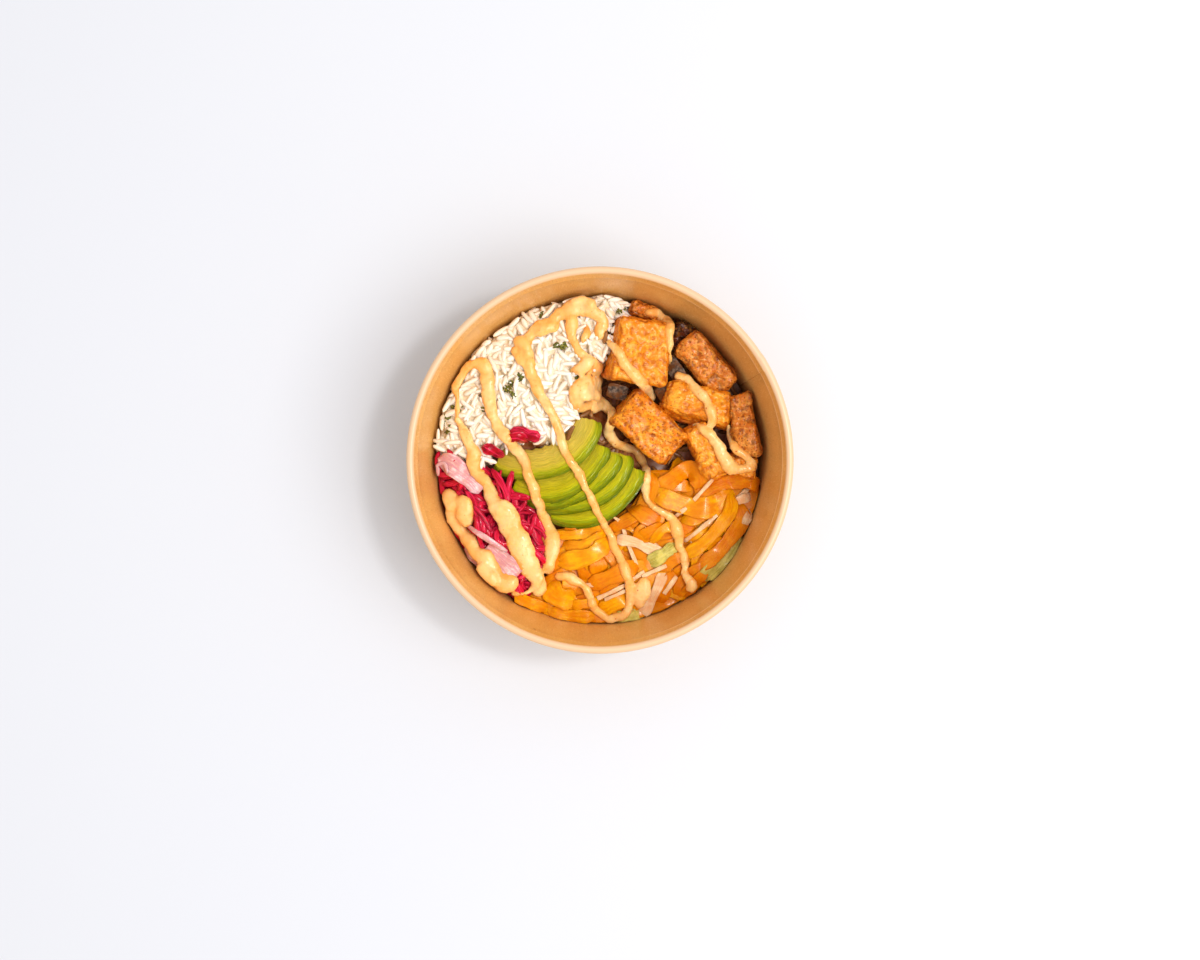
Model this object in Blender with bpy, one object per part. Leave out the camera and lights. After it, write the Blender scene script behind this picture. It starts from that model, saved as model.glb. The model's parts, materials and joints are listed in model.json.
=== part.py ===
"""Poke bowl: a kraft paper bowl with rice, seared salmon, fanned avocado,
pickled red cabbage and a slaw of carrot, yellow pepper and white radish.

Lengths are in millimetres and become metres when a mesh is stored. Seen from
above, +X is to the right and +Y is away. The bowl stands on z = 0.
"""

import math
import random

import bmesh
import bpy
from mathutils import Matrix, Vector
from mathutils.bvhtree import BVHTree

MM = 0.001
CLEAR = 0.35

# Paper bowl
RIM_RADIUS = 75.0
HEIGHT = 60.0
CURL_RADIUS = 1.5
PAPER = 0.6
FOOT_RADIUS = 63.6
FOOT_WIDTH = 1.8
FLOOR_TOP = 6.0
FLOOR_UNDER = 5.1
BOWL_STEPS = 60
SEAM_ANGLE = 28.5
SEAM_WIDTH = 6.0
SEAM_PROUD = 0.3

# Rice: a bed under everything, and a mound at the back left
BED_LEVEL = 19.0
AVOCADO_BED_LEVEL = 28.6
AVOCADO_BED_FALL = 0.146
RICE_EDGE_LEVEL = 30.0
RICE_TOP_LEVEL = 35.0
RICE_SLOPE_WIDTH = 7.0
GRAIN_LENGTH = 7.0
GRAIN_WIDTH = 1.9
GRAIN_COUNT = 80
RICE_OUTLINE = [
    (-90, 6), (-54, -1), (-46, 2), (-38, 8), (-28, 12), (-19, 8), (-13, 15), (-10, 25),
    (-8, 34), (-2, 42), (0, 54), (8, 60), (14, 80), (-40, 95), (-95, 50),
]

# Salmon pieces: middle, length, width, height, turn, lean right, lean back
SALMON = [
    ((15.2, 44.0, 29.6), 21.5, 23.4, 15.0, -8, 14, 6),
    ((17.5, 60.2, 25.0), 11.0, 5.6, 12.0, -16, 0, 0),
    ((29.8, 50.4, 22.0), 5.4, 12.0, 9.0, -32, 0, 0),
    ((40.4, 40.6, 26.6), 21.0, 12.2, 13.5, -48, 0, 8),
    ((39.8, 22.4, 25.8), 24.0, 12.2, 13.0, -12, 0, -6),
    ((58.2, 15.0, 26.0), 23.5, 9.0, 13.0, 98, 0, 0),
    ((20.2, 13.6, 26.6), 28.0, 15.0, 14.0, -42, -4, 6),
    ((43.9, 4.3, 25.4), 22.0, 10.0, 12.5, -62, 0, 6),
    ((58.6, -2.4, 24.6), 10.4, 7.6, 11.0, -18, 0, 0),
]
SALMON_ROUND = 2.4

# Avocado: crescent slices fanned towards the lower right, each under the last
SLICE_COUNT = 5
SLICE_OUTER = 32.0
SLICE_INNER = 20.0
SLICE_THICK = 3.1
SLICE_MIDDLE = (-28.6, 23.7)
SLICE_STEP = (4.4, -4.75)
SLICE_DROP = 0.95
SLICE_RIM_LEVEL = 38.0
SLICE_TILT = 22.0
SLICE_SPANS = [(-119, -16), (-111, -22), (-106, -24), (-102, -17), (-98, -18)]

# Red cabbage at the left front
CABBAGE_MIDDLE = (-45.0, -30.0)
CABBAGE_LEVEL = 28.5
CABBAGE_OUTLINE = [
    (-70, -4), (-55, -7), (-47, -9), (-40, -14), (-33, -20), (-26, -27), (-24, -38),
    (-25, -47), (-29, -54), (-36, -66), (-60, -50), (-75, -25),
]
SHRED_COUNT = 30
SHRED_WIDTH = 2.4
SHRED_THICK = 1.3
PINK_LEAVES = [
    ([(-63, 1), (-58, -2), (-53, -7), (-48, -12)], 3.6),
    ([(-53, -26), (-45, -31), (-38, -36)], 1.1),
    ([(-46, -35), (-39, -41), (-33, -46)], 4.2),
    ([(-56, -35), (-52, -41), (-47, -45)], 2.6),
]

# Slaw at the right front: route, half width, thickness, from the bottom up
SLAW_MIDDLE = (22.0, -36.0)
SLAW_LEVEL = 27.5
SLAW_OUTLINE = [
    (-25, -57), (-20, -48), (-17, -38), (-12, -33.5), (-4, -32), (6, -29), (14, -23), (19, -15),
    (20.5, -6), (25, -3.5), (31, -4), (37, -9), (43, -12), (50, -11), (59, -10), (70, -9),
    (72, -25), (55, -50), (30, -68), (0, -75), (-25, -70),
]
SLAW_STRIPS = [
    ([(41, -47), (50, -42), (56, -35), (58, -30)], 2.6, 0.9),
    ([(8, -63), (12, -64), (16, -63)], 2.4, 0.9),
    ([(-14, -34), (-9, -35), (-2, -33), (3, -31)], 2.1, 1.8),
    ([(6, -30), (11, -26), (17, -23)], 2.6, 1.8),
    ([(24, -57), (27, -50), (30, -46)], 3.0, 1.8),
    ([(1, -60), (6, -58), (11, -55)], 3.2, 2.0),
    ([(33, -24), (39, -23), (46, -20)], 2.6, 2.0),
    ([(35, -32), (40, -30), (45, -28)], 2.4, 2.0),
    ([(12, -19), (18, -23), (25, -27)], 3.1, 1.6),
    ([(38, -16), (46, -11), (53, -9), (60, -10)], 2.7, 1.7),
    ([(-17, -42), (-10, -41), (-3, -38), (3, -33)], 3.5, 2.2),
    ([(-3, -50), (3, -47), (10, -44), (15, -41)], 3.3, 1.8),
    ([(24, -12), (30, -8), (36, -7), (41, -10)], 4.0, 1.6),
    ([(22, -14), (31, -17), (40, -19), (48, -17), (54, -13)], 2.7, 2.0),
    ([(57, -18), (57, -24), (54, -30), (48, -37), (40, -43)], 3.0, 2.0),
    ([(53, -15), (52, -22), (47, -28), (39, -35), (34, -38)], 2.4, 2.2),
    ([(-20, -51), (-16, -55), (-11, -58)], 4.4, 3.0),
    ([(-21, -61), (-14, -63), (-7, -63.5), (-1, -63)], 2.3, 2.4),
    ([(7, -31), (14, -33), (21, -36), (26, -38)], 2.2, 1.2),
    ([(18, -42), (24, -38), (30, -34)], 2.4, 1.0),
    ([(18, -63), (20, -58), (24, -50), (26, -45)], 1.9, 1.0),
    ([(39, -15), (45, -9)], 0.9, 1.2),
    ([(35, -32), (41, -28), (47, -23)], 0.9, 1.2),
    ([(56, -16), (62, -14.5)], 1.8, 1.2),
    ([(58, -27), (61, -21)], 1.7, 1.2),
    ([(-1, -55), (5, -53), (11, -50)], 0.9, 1.2),
    ([(18, -46), (26, -43)], 0.9, 1.2),
]

# Sauce beads squeezed over the top: x, y, half width
SAUCE = [
    [(-24, -56, 3.0), (-26, -48, 3.0), (-31, -36, 4.0), (-38, -22, 4.8), (-43, -17, 3.2),
     (-46, -10, 2.7), (-50, -4, 3.4), (-51, 4, 2.8), (-55, 12, 2.0)],
    [(-57, 30, 1.7), (-56, 35, 2.0), (-52.5, 38.5, 2.3), (-47, 38.5, 2.8), (-45, 33, 3.2),
     (-43, 19, 3.0), (-39, 11, 2.8), (-33, 4, 2.7), (-28.5, -5, 2.7), (-26, -14, 2.7),
     (-22, -25, 3.3), (-19.5, -33, 3.8), (-20.5, -40, 3.3), (-21, -46, 2.6)],
    [(-18, -46.5, 2.2), (-11, -48, 2.4), (-5.5, -52, 2.3), (-2, -59, 2.2), (3, -63, 2.2),
     (9, -61.5, 2.2), (12, -56, 2.2), (11.5, -48, 2.2), (7.5, -38, 2.2), (2.5, -27, 2.1),
     (-4, -14, 2.1), (-12, 0, 2.2), (-16.5, 10, 2.3), (-21, 22, 2.5), (-27, 34, 2.9),
     (-29, 43, 3.2), (-24, 53, 2.7), (-15, 59, 3.3), (-9, 61, 4.2)],
    [(0.5, 33, 2.5), (-6, 31, 2.6), (-9.5, 26, 2.6), (-6, 22, 2.6), (2, 22.5, 2.4),
     (4.5, 15, 2.4), (6, 8, 2.4), (13, 5, 2.2), (18, -1, 2.2), (19, -12, 2.0),
     (24, -20, 1.6), (30, -25, 2.5), (32.5, -34, 2.3), (35, -46, 2.3), (37, -51, 2.6)],
    [(5, 46.5, 1.7), (9.5, 39, 2.4), (15, 33, 2.7)],
    [(34, 33, 2.4), (39, 29, 2.6), (43, 24, 2.6), (45, 18, 2.5)],
    [(40, 13, 2.0), (44, 9, 2.4), (48, 3, 2.6)],
    [(17.5, -48, 3.2), (17, -53, 3.6), (15.5, -58, 2.4)],
    [(-60, -15, 3.4), (-59, -24, 4.0), (-53.5, -33, 3.0), (-49, -38, 2.6), (-44, -46, 3.6),
     (-37, -50, 3.2)],
]
BEAD_SIDES = 6
BEAD_SPACING = 3.6
BEAD_FLATNESS = 0.72


def wall_inner(z):
    """Radius of the bowl's inner face at height z."""
    top = HEIGHT - CURL_RADIUS
    low = FOOT_RADIUS - PAPER
    return low + (RIM_RADIUS - 2 * CURL_RADIUS - low) * min(z, top) / top


def material(name, colour, roughness, metallic=0.0):
    made = bpy.data.materials.new(name)
    made.use_nodes = True
    shader = made.node_tree.nodes["Principled BSDF"]
    shader.inputs["Base Color"].default_value = (*colour, 1.0)
    shader.inputs["Roughness"].default_value = roughness
    shader.inputs["Metallic"].default_value = metallic
    return made


def store(name, bm, surface, smooth_angle=50.0):
    """Keeps a mesh modelled in millimetres as an object in metres."""
    bmesh.ops.recalc_face_normals(bm, faces=bm.faces)
    mesh = bpy.data.meshes.new(name)
    bm.to_mesh(mesh)
    bm.free()
    mesh.transform(Matrix.Scale(MM, 4))
    mesh.shade_smooth()
    mesh.set_sharp_from_angle(angle=math.radians(smooth_angle))
    mesh.materials.append(surface)
    made = bpy.data.objects.new(name, mesh)
    bpy.context.scene.collection.objects.link(made)
    return made


def boolean(target, operation, others, solver="EXACT"):
    """Joins or cuts the target with other objects, which are then removed."""
    group = bpy.data.collections.new(target.name + "_tools")
    bpy.context.scene.collection.children.link(group)
    for other in others:
        group.objects.link(other)
    step = target.modifiers.new(operation.lower(), "BOOLEAN")
    step.operation = operation
    step.operand_type = "COLLECTION"
    step.collection = group
    step.solver = solver
    bpy.context.view_layer.update()
    seen = target.evaluated_get(bpy.context.evaluated_depsgraph_get())
    mesh = bpy.data.meshes.new_from_object(seen)
    target.modifiers.remove(step)
    target.data = mesh
    for other in others:
        bpy.data.objects.remove(other)
    bpy.data.collections.remove(group)
    keep_largest(target)


def keep_largest(target):
    """Drops loose scraps and sealed hollows, leaving the one outer skin."""
    bm = bmesh.new()
    bm.from_mesh(target.data)
    bmesh.ops.triangulate(bm, faces=bm.faces)
    left = set(bm.faces)
    shells = []
    while left:
        shell = {left.pop()}
        front = set(shell)
        while front:
            near = {f for face in front for e in face.edges if e.is_manifold for f in e.link_faces}
            front = near - shell
            shell |= front
        left -= shell
        shells.append(shell)
    shells.sort(key=len)
    scraps = [face for shell in shells[:-1] for face in shell]
    bmesh.ops.delete(bm, geom=scraps, context="FACES")
    bm.to_mesh(target.data)
    bm.free()


def tree_in_mm(target):
    """Search tree of an object's faces, in millimetres."""
    bm = bmesh.new()
    bm.from_mesh(target.data)
    bmesh.ops.scale(bm, vec=(1 / MM,) * 3, verts=bm.verts)
    tree = BVHTree.FromBMesh(bm)
    bm.free()
    return tree


def smooth_route(points, spacing):
    """Points along a smooth curve through the given ones; each may carry a width."""
    points = [Vector(p).to_3d() if len(p) == 2 else Vector(p) for p in points]
    padded = [2 * points[0] - points[1], *points, 2 * points[-1] - points[-2]]
    route = [points[0]]
    for a, b, c, d in zip(padded, padded[1:], padded[2:], padded[3:]):
        count = max(1, round((c - b).to_2d().length / spacing))
        for k in range(1, count + 1):
            t = k / count
            bend = (2 * a - 5 * b + 4 * c - d) * t + (3 * b - a - 3 * c + d) * t * t
            route.append(b + (c - a + bend) * t / 2)
    return route


def sweep(path, half_widths, half_heights, sides, turn=0.0):
    """A closed bar along the path, its ends drawn in a little."""
    frames = []
    for i, (point, wide, high) in enumerate(zip(path, half_widths, half_heights)):
        ahead = (path[min(i + 1, len(path) - 1)] - path[max(i - 1, 0)]).normalized()
        side = ahead.cross(Vector((0, 0, 1))).normalized()
        rise = side.cross(ahead)
        frame = Matrix((side * wide, rise * high, ahead)).transposed().to_4x4()
        frame.translation = point
        frames.append(frame @ Matrix.Rotation(turn, 4, "Z"))
    bm = bmesh.new()
    bmesh.ops.create_circle(bm, cap_ends=True, segments=sides, radius=1.0, matrix=frames[0])
    bm.faces.ensure_lookup_table()
    end = bm.faces[0]
    for before, frame in zip(frames, frames[1:]):
        made = bmesh.ops.extrude_face_region(bm, geom=[end, *end.edges, *end.verts])
        end = next(item for item in made["geom"] if isinstance(item, bmesh.types.BMFace))
        bmesh.ops.transform(bm, matrix=frame @ before.inverted(), verts=end.verts)
    bmesh.ops.recalc_face_normals(bm, faces=bm.faces)
    return bm


def outline_distance(point, outline):
    """Distance from a point to a closed outline, positive inside it."""
    inside = False
    nearest = math.inf
    for (ax, ay), (bx, by) in zip(outline, outline[1:] + outline[:1]):
        a, b = Vector((ax, ay)), Vector((bx, by))
        share = (point - a).dot(b - a) / (b - a).length_squared
        nearest = min(nearest, (a + (b - a) * min(1, max(0, share)) - point).length)
        if (ay > point.y) != (by > point.y):
            if point.x < ax + (point.y - ay) / (by - ay) * (bx - ax):
                inside = not inside
    return nearest if inside else -nearest


def outline_reach(middle, direction, outline):
    """Distance from the middle to a closed outline along a direction."""
    reach = 0.0
    for (ax, ay), (bx, by) in zip(outline, outline[1:] + outline[:1]):
        a, side = Vector((ax, ay)) - middle, Vector((bx - ax, by - ay))
        across = direction.cross(side)
        if abs(across) > 1e-9:
            along, share = a.cross(side) / across, a.cross(direction) / across
            if -1e-6 <= share <= 1 + 1e-6 and along > reach:
                reach = along
    return reach


def heap_core(middle, reach, top, bottom, around, rings):
    """A UV sphere pressed into a heap: its upper rings lie on the top surface, its
    last ring is the lower edge. Nothing reaches through the bowl's wall."""
    middle = Vector(middle)
    bm = bmesh.new()
    rows = rings + 2
    bmesh.ops.create_uvsphere(bm, u_segments=around, v_segments=rows, radius=1.0)
    for v in bm.verts:
        row = round(math.acos(max(-1.0, min(1.0, v.co.z))) / math.pi * rows)
        upper = row <= rings
        share = row / rings if upper else (1.0 if row < rows else 0.0)
        spot = middle.copy()
        if share:
            direction = v.co.to_2d().normalized()
            spot += direction * reach(direction) * share
        z = top(spot) if upper else bottom
        limit = wall_inner(z) - CLEAR - 0.25
        if spot.length > limit:
            spot *= limit / spot.length
        v.co = (spot.x, spot.y, z)
    bmesh.ops.triangulate(bm, faces=bm.faces)
    return bm


def blend(share):
    share = min(1.0, max(0.0, share))
    return share * share * (3 - 2 * share)


def ripple(point, size):
    """An even unevenness of the heaps, about one unit high."""
    x, y = point.x / size, point.y / size
    return (math.sin(1.9 * x + 0.8 * y) + math.sin(1.1 * x - 2.3 * y + 1.0)) / 2


def rice_top(point):
    near_wall = blend((66 - point.length) / 26)
    mound = RICE_EDGE_LEVEL + (RICE_TOP_LEVEL - RICE_EDGE_LEVEL) * near_wall
    mound += 0.9 * ripple(point, 7)
    down_fan = (point - Vector(SLICE_MIDDLE)).dot(Vector(SLICE_STEP).normalized()) - SLICE_INNER
    under_fan = AVOCADO_BED_LEVEL - AVOCADO_BED_FALL * down_fan
    near_fan = blend((31 - (point - Vector((-13, -3))).length) / 12)
    bed = BED_LEVEL + (under_fan - BED_LEVEL) * near_fan
    return bed + (mound - bed) * blend(0.5 + outline_distance(point, RICE_OUTLINE) / RICE_SLOPE_WIDTH)


def heap_top(level, point):
    near_wall = blend((67 - point.length) / 18)
    return level - 2.0 + 2.6 * near_wall + 0.8 * ripple(point, 8)


def bowl_profile():
    """The bowl's cut face from the floor's middle, up inside, over the curl and
    down outside to the foot and the floor's underside."""
    curl = Vector((RIM_RADIUS - CURL_RADIUS, HEIGHT - CURL_RADIUS))
    points = [(0.0, FLOOR_TOP)]
    points += [(wall_inner(z), z) for z in (FLOOR_TOP, 24.0, 42.0)]
    for k in range(8):
        turn = math.radians(180 - 42.0 * k)
        points.append((curl.x + CURL_RADIUS * math.cos(turn), curl.y + CURL_RADIUS * math.sin(turn)))
    points += [(wall_inner(z) + PAPER, z) for z in (HEIGHT - 3.4, 40.0, 22.0, 4.0)]
    points += [(FOOT_RADIUS, 0.0), (FOOT_RADIUS - FOOT_WIDTH, 0.0)]
    points += [(FOOT_RADIUS - FOOT_WIDTH, FLOOR_UNDER), (0.0, FLOOR_UNDER)]
    return points


def make_bowl(kraft):
    bm = bmesh.new()
    corners = [bm.verts.new((r, 0.0, z)) for r, z in bowl_profile()]
    edges = [bm.edges.new(pair) for pair in zip(corners, corners[1:])]
    bmesh.ops.spin(bm, geom=corners + edges, axis=(0, 0, 1), cent=(0, 0, 0), steps=BOWL_STEPS,
                   angle=math.tau, use_merge=True)
    bmesh.ops.remove_doubles(bm, verts=bm.verts, dist=0.001)
    bowl = store("bowl", bm, kraft, 35.0)
    seam = bmesh.new()
    bmesh.ops.create_cube(seam, size=1.0)
    bmesh.ops.subdivide_edges(seam, edges=[e for e in seam.edges if abs(e.verts[0].co.y - e.verts[1].co.y) > 0.5],
                              cuts=2)
    low, high = 1.0, HEIGHT - 5.0
    for v in seam.verts:
        z = high if v.co.z > 0 else low
        radius = wall_inner(z) + PAPER + (SEAM_PROUD if v.co.x > 0 else -0.3)
        turn = math.radians(SEAM_ANGLE) + v.co.y * SEAM_WIDTH / RIM_RADIUS
        v.co = (radius * math.cos(turn), radius * math.sin(turn), z)
    boolean(bowl, "UNION", [store("seam", seam, kraft)])
    return bowl


def salmon_block(middle, length, width, height, turn, lean_right, lean_back, seed):
    """A knife-cut block with rounded arrises, slightly out of square, its faces
    roughened where the flakes and the seared crust stand up."""
    draw = random.Random(seed)
    bm = bmesh.new()
    bmesh.ops.create_cube(bm, size=1.0)
    bmesh.ops.scale(bm, vec=(length, width, height), verts=bm.verts)
    for v in bm.verts:
        v.co += Vector([draw.uniform(-0.05, 0.05) * size for size in (length, width, height)])
        if v.co.z < 0:
            v.co.xy *= 0.93
    bmesh.ops.bevel(bm, geom=bm.edges[:], offset=SALMON_ROUND, affect="EDGES", segments=2, profile=0.5,
                    material=-1)
    long_edges = [e for e in bm.edges if e.calc_length() > 5.0]
    bmesh.ops.subdivide_edges(bm, edges=long_edges, cuts=2, use_grid_fill=True)
    bm.normal_update()
    for v in bm.verts:
        v.co += v.normal * draw.uniform(-0.35, 0.35)
    place = Matrix.Translation(middle) @ Matrix.Rotation(math.radians(lean_right), 4, "Y")
    place @= Matrix.Rotation(math.radians(lean_back), 4, "X") @ Matrix.Rotation(math.radians(turn), 4, "Z")
    bmesh.ops.transform(bm, matrix=place, verts=bm.verts)
    bmesh.ops.triangulate(bm, faces=bm.faces)
    return bm


def avocado_slice(index):
    """One crescent: inner edge low, rim high, tips drawn in and rounded."""
    cx, cy = (SLICE_MIDDLE[k] + SLICE_STEP[k] * index for k in (0, 1))
    start, stop = SLICE_SPANS[index]
    downhill = Vector(SLICE_STEP).normalized()
    rim_level = SLICE_RIM_LEVEL - SLICE_DROP * index
    steps, across = 14, 4
    bm = bmesh.new()
    bmesh.ops.create_cube(bm, size=1.0)
    for axis, cuts in ((0, steps - 1), (1, across - 1)):
        lines = [e for e in bm.edges if abs(e.verts[0].co[axis] - e.verts[1].co[axis]) > 0.9]
        bmesh.ops.subdivide_edges(bm, edges=lines, cuts=cuts, use_grid_fill=True)
    for v in bm.verts:
        along, over, upper = v.co.x * 2, v.co.y + 0.5, v.co.z > 0
        turn = math.radians(start + (stop - start) * (along + 1) / 2)
        outer = SLICE_OUTER - 4.5 * abs(along) ** 5
        inner = SLICE_INNER + 1.8 * along * along
        radius = inner + (outer - inner) * over
        spot = Vector((radius * math.cos(turn), radius * math.sin(turn)))
        rim_round = 0.8 * (max(0.0, over - 0.7) / 0.3) ** 2 + 0.4 * (max(0.0, 0.2 - over) / 0.2) ** 2
        z = rim_level + (spot.dot(downhill) - SLICE_OUTER) * math.tan(math.radians(SLICE_TILT))
        z += -rim_round if upper else -SLICE_THICK + rim_round * 0.6
        v.co = (cx + spot.x, cy + spot.y, z)
    bmesh.ops.triangulate(bm, faces=bm.faces)
    return bm


class Heap:
    """A food's core with the loose pieces that lie on it, before they are joined."""

    def __init__(self, name, core, surface):
        self.name = name
        self.surface = surface
        self.core = store(name, core, surface)
        self.pieces = []
        self.trees = [tree_in_mm(self.core)]

    def refresh(self):
        self.trees[0] = tree_in_mm(self.core)

    def add(self, bm):
        piece = store(self.name + "_piece", bm, self.surface)
        self.pieces.append(piece)
        self.trees.append(tree_in_mm(piece))

    def height(self, x, y):
        """The highest surface over a spot, or None beside the food."""
        hits = [tree.ray_cast(Vector((x, y, 200)), Vector((0, 0, -1)))[0] for tree in self.trees]
        levels = [hit.z for hit in hits if hit]
        return max(levels) if levels else None

    def gap(self, point):
        return min(tree.find_nearest(point)[3] for tree in self.trees)

    def join(self):
        if self.pieces:
            boolean(self.core, "UNION", self.pieces, "MANIFOLD")
            self.pieces = []


def in_bowl(point, radius):
    return point.to_2d().length + radius < wall_inner(point.z) - CLEAR


def is_clear(points, radius, others):
    """True if a piece with these points touches neither bowl nor other foods."""
    for point in points:
        if not in_bowl(point, radius):
            return False
        if any(other.gap(point) < radius + CLEAR for other in others):
            return False
    return True


def under_sauce(spot, margin):
    """True if sauce is squeezed over a spot, or nearer to it than the margin."""
    for route in SAUCE:
        for point in smooth_route(route, BEAD_SPACING):
            if (point.to_2d() - spot).length < point.z + margin:
                return True
    return False


def scatter_rice(rice, others):
    """Grains lie on the mound at every turn, spread evenly by a golden spiral."""
    draw = random.Random(5)
    placed = 0
    for k in range(420):
        reach = 66.5 * math.sqrt((k + 0.5) / 420)
        turn = k * 2.39996
        spot = Vector((reach * math.cos(turn), reach * math.sin(turn)))
        if outline_distance(spot, RICE_OUTLINE) < 1.0 or placed >= GRAIN_COUNT:
            continue
        if under_sauce(spot, 3.4):
            continue
        level = rice.height(spot.x, spot.y)
        if level is None:
            continue
        middle = Vector((spot.x, spot.y, level + 0.2))
        pose = Matrix.Translation(middle) @ Matrix.Rotation(draw.uniform(0, math.tau), 4, "Z")
        pose @= Matrix.Rotation(draw.uniform(-0.3, 0.3), 4, "Y")
        half = GRAIN_LENGTH * draw.uniform(0.42, 0.54)
        ends = [pose @ Vector((half * share, 0, 0)) for share in (-0.8, -0.4, 0, 0.4, 0.8)]
        if not is_clear(ends, GRAIN_WIDTH / 2 + 0.35, others):
            continue
        grain = bmesh.new()
        bmesh.ops.create_uvsphere(grain, u_segments=5, v_segments=4, radius=1.0)
        thick = GRAIN_WIDTH / 2
        shape = Matrix.Rotation(math.pi / 2, 4, "Y") @ Matrix.Diagonal((thick, thick, half, 1))
        bmesh.ops.transform(grain, matrix=pose @ shape, verts=grain.verts)
        rice.add(grain)
        placed += 1


def lay_strip(heap, route, half_width, thickness, others, spacing=4.5):
    """A strip that rests on the heap and on the strips under it."""
    path = []
    for spot in smooth_route(route, spacing):
        level = heap.height(spot.x, spot.y)
        if level is not None:
            path.append(Vector((spot.x, spot.y, level + thickness * 0.2)))
    for _ in range(2):
        for a, b, c in zip(path, path[1:], path[2:]):
            b.z = max(b.z, (a.z + c.z) / 2)
    radius = math.hypot(half_width, thickness / 2)
    path = [p for p in path if is_clear([p], radius * 0.9, others)]
    if len(path) < 3 or any((b - a).length > 2 * spacing for a, b in zip(path, path[1:])):
        return
    widths = [half_width * (0.75 if k in (0, len(path) - 1) else 1.0) * 1.41 for k in range(len(path))]
    highs = [thickness * 0.707] * len(path)
    heap.add(sweep(path, widths, highs, 4, math.pi / 4))


def scatter_shreds(cabbage, others):
    """Shreds run mostly from upper left to lower right, each with its own bend."""
    draw = random.Random(11)
    for k in range(SHRED_COUNT):
        reach = 25 * math.sqrt((k + 0.5) / SHRED_COUNT)
        turn = k * 2.39996
        x, y = CABBAGE_MIDDLE[0] + reach * math.cos(turn), CABBAGE_MIDDLE[1] + reach * math.sin(turn)
        heading = math.radians(-52 + draw.gauss(0, 28))
        half = draw.uniform(5, 9)
        bend = draw.uniform(-2.5, 2.5)
        dx, dy = math.cos(heading), math.sin(heading)
        route = [(x - half * dx, y - half * dy), (x - bend * dy, y + bend * dx), (x + half * dx, y + half * dy)]
        lay_strip(cabbage, route, SHRED_WIDTH / 2 * draw.uniform(0.7, 1.3), SHRED_THICK, others, 5.0)


def squeeze_sauce(heaps):
    """Beads of sauce, fused piece by piece to the food they lie on."""
    for route in SAUCE:
        runs = []
        owner_before = None
        for spot in smooth_route(route, BEAD_SPACING):
            x, y, half = spot
            levels = [(heap.height(x, y), k) for k, heap in enumerate(heaps)]
            level, owner = max((pair for pair in levels if pair[0] is not None), default=(None, None))
            if owner is None:
                owner_before = None
                continue
            point = Vector((x, y, level + 0.25 * half))
            others = [heap for heap in heaps if heap is not heaps[owner]]
            tested = [point]
            if owner == owner_before:
                before = runs[-1][1][-1]
                tested += [before.lerp(point, 0.33), before.lerp(point, 0.67)]
            if not is_clear(tested, half * 1.05, others):
                owner_before = None
                continue
            if owner != owner_before:
                runs.append((heaps[owner], [], []))
            owner_before = owner
            runs[-1][1].append(point)
            runs[-1][2].append(half)
        for heap, path, halves in runs:
            if len(path) < 2:
                continue
            others = [other for other in heaps if other is not heap]
            for a, b, c, half in zip(path, path[1:], path[2:], halves[1:]):
                raised = Vector((b.x, b.y, max(b.z, (a.z + c.z) / 2)))
                if is_clear([raised, a.lerp(raised, 0.5), raised.lerp(c, 0.5)], half * 1.05, others):
                    b.z = raised.z
            halves[0] *= 0.7
            halves[-1] *= 0.7
            highs = [half * BEAD_FLATNESS for half in halves]
            heap.add(sweep(path, halves, highs, BEAD_SIDES))


def main():
    for old in list(bpy.data.objects):
        bpy.data.objects.remove(old)
    kraft = material("kraft_paper", (0.62, 0.36, 0.15), 0.55)
    white = material("rice", (0.86, 0.80, 0.68), 0.5)
    seared = material("salmon", (0.72, 0.28, 0.06), 0.45)
    green = material("avocado", (0.45, 0.55, 0.08), 0.4)
    magenta = material("red_cabbage", (0.55, 0.02, 0.14), 0.35)
    orange = material("slaw", (0.92, 0.40, 0.02), 0.35)

    make_bowl(kraft)

    def rice_core():
        return heap_core((0, 0), lambda direction: 72.0, rice_top, FLOOR_TOP + CLEAR, 48, 9)

    rice = Heap("rice", rice_core(), white)
    heaps = [rice]

    def cut_by_rice(heap):
        """Cuts a food back from the rice that carries it."""
        raised = rice_core()
        bmesh.ops.translate(raised, vec=(0, 0, 0.8), verts=raised.verts)
        boolean(heap.core, "DIFFERENCE", [store("rice_cutter", raised, white)])
        heap.refresh()

    for name, middle, level, outline, around, colour in (
        ("red_cabbage", CABBAGE_MIDDLE, CABBAGE_LEVEL, CABBAGE_OUTLINE, 20, magenta),
        ("slaw", SLAW_MIDDLE, SLAW_LEVEL, SLAW_OUTLINE, 28, orange),
    ):
        heart = Vector(middle)
        core = heap_core(middle, lambda d, o=outline, h=heart: outline_reach(h, d, o),
                         lambda p, lev=level: heap_top(lev, p), BED_LEVEL + 0.6, around, 3)
        heap = Heap(name, core, colour)
        cut_by_rice(heap)
        heaps.append(heap)
    cabbage, slaw = heaps[1:3]

    for k, shape in enumerate(SALMON):
        heap = Heap(f"salmon_{k + 1}", salmon_block(*shape, seed=k + 3), seared)
        cut_by_rice(heap)
        heaps.append(heap)
    for k in range(SLICE_COUNT):
        heap = Heap(f"avocado_{k + 1}", avocado_slice(k), green)
        cut_by_rice(heap)
        heaps.append(heap)

    for route, half_width in PINK_LEAVES:
        lay_strip(cabbage, route, half_width, 1.2, [h for h in heaps if h is not cabbage])
    scatter_shreds(cabbage, [h for h in heaps if h is not cabbage])
    for route, half_width, thickness in SLAW_STRIPS:
        lay_strip(slaw, route, half_width, thickness, [h for h in heaps if h is not slaw])
    scatter_rice(rice, [h for h in heaps if h is not rice])
    squeeze_sauce(heaps)
    for heap in heaps:
        heap.join()


main()
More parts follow.
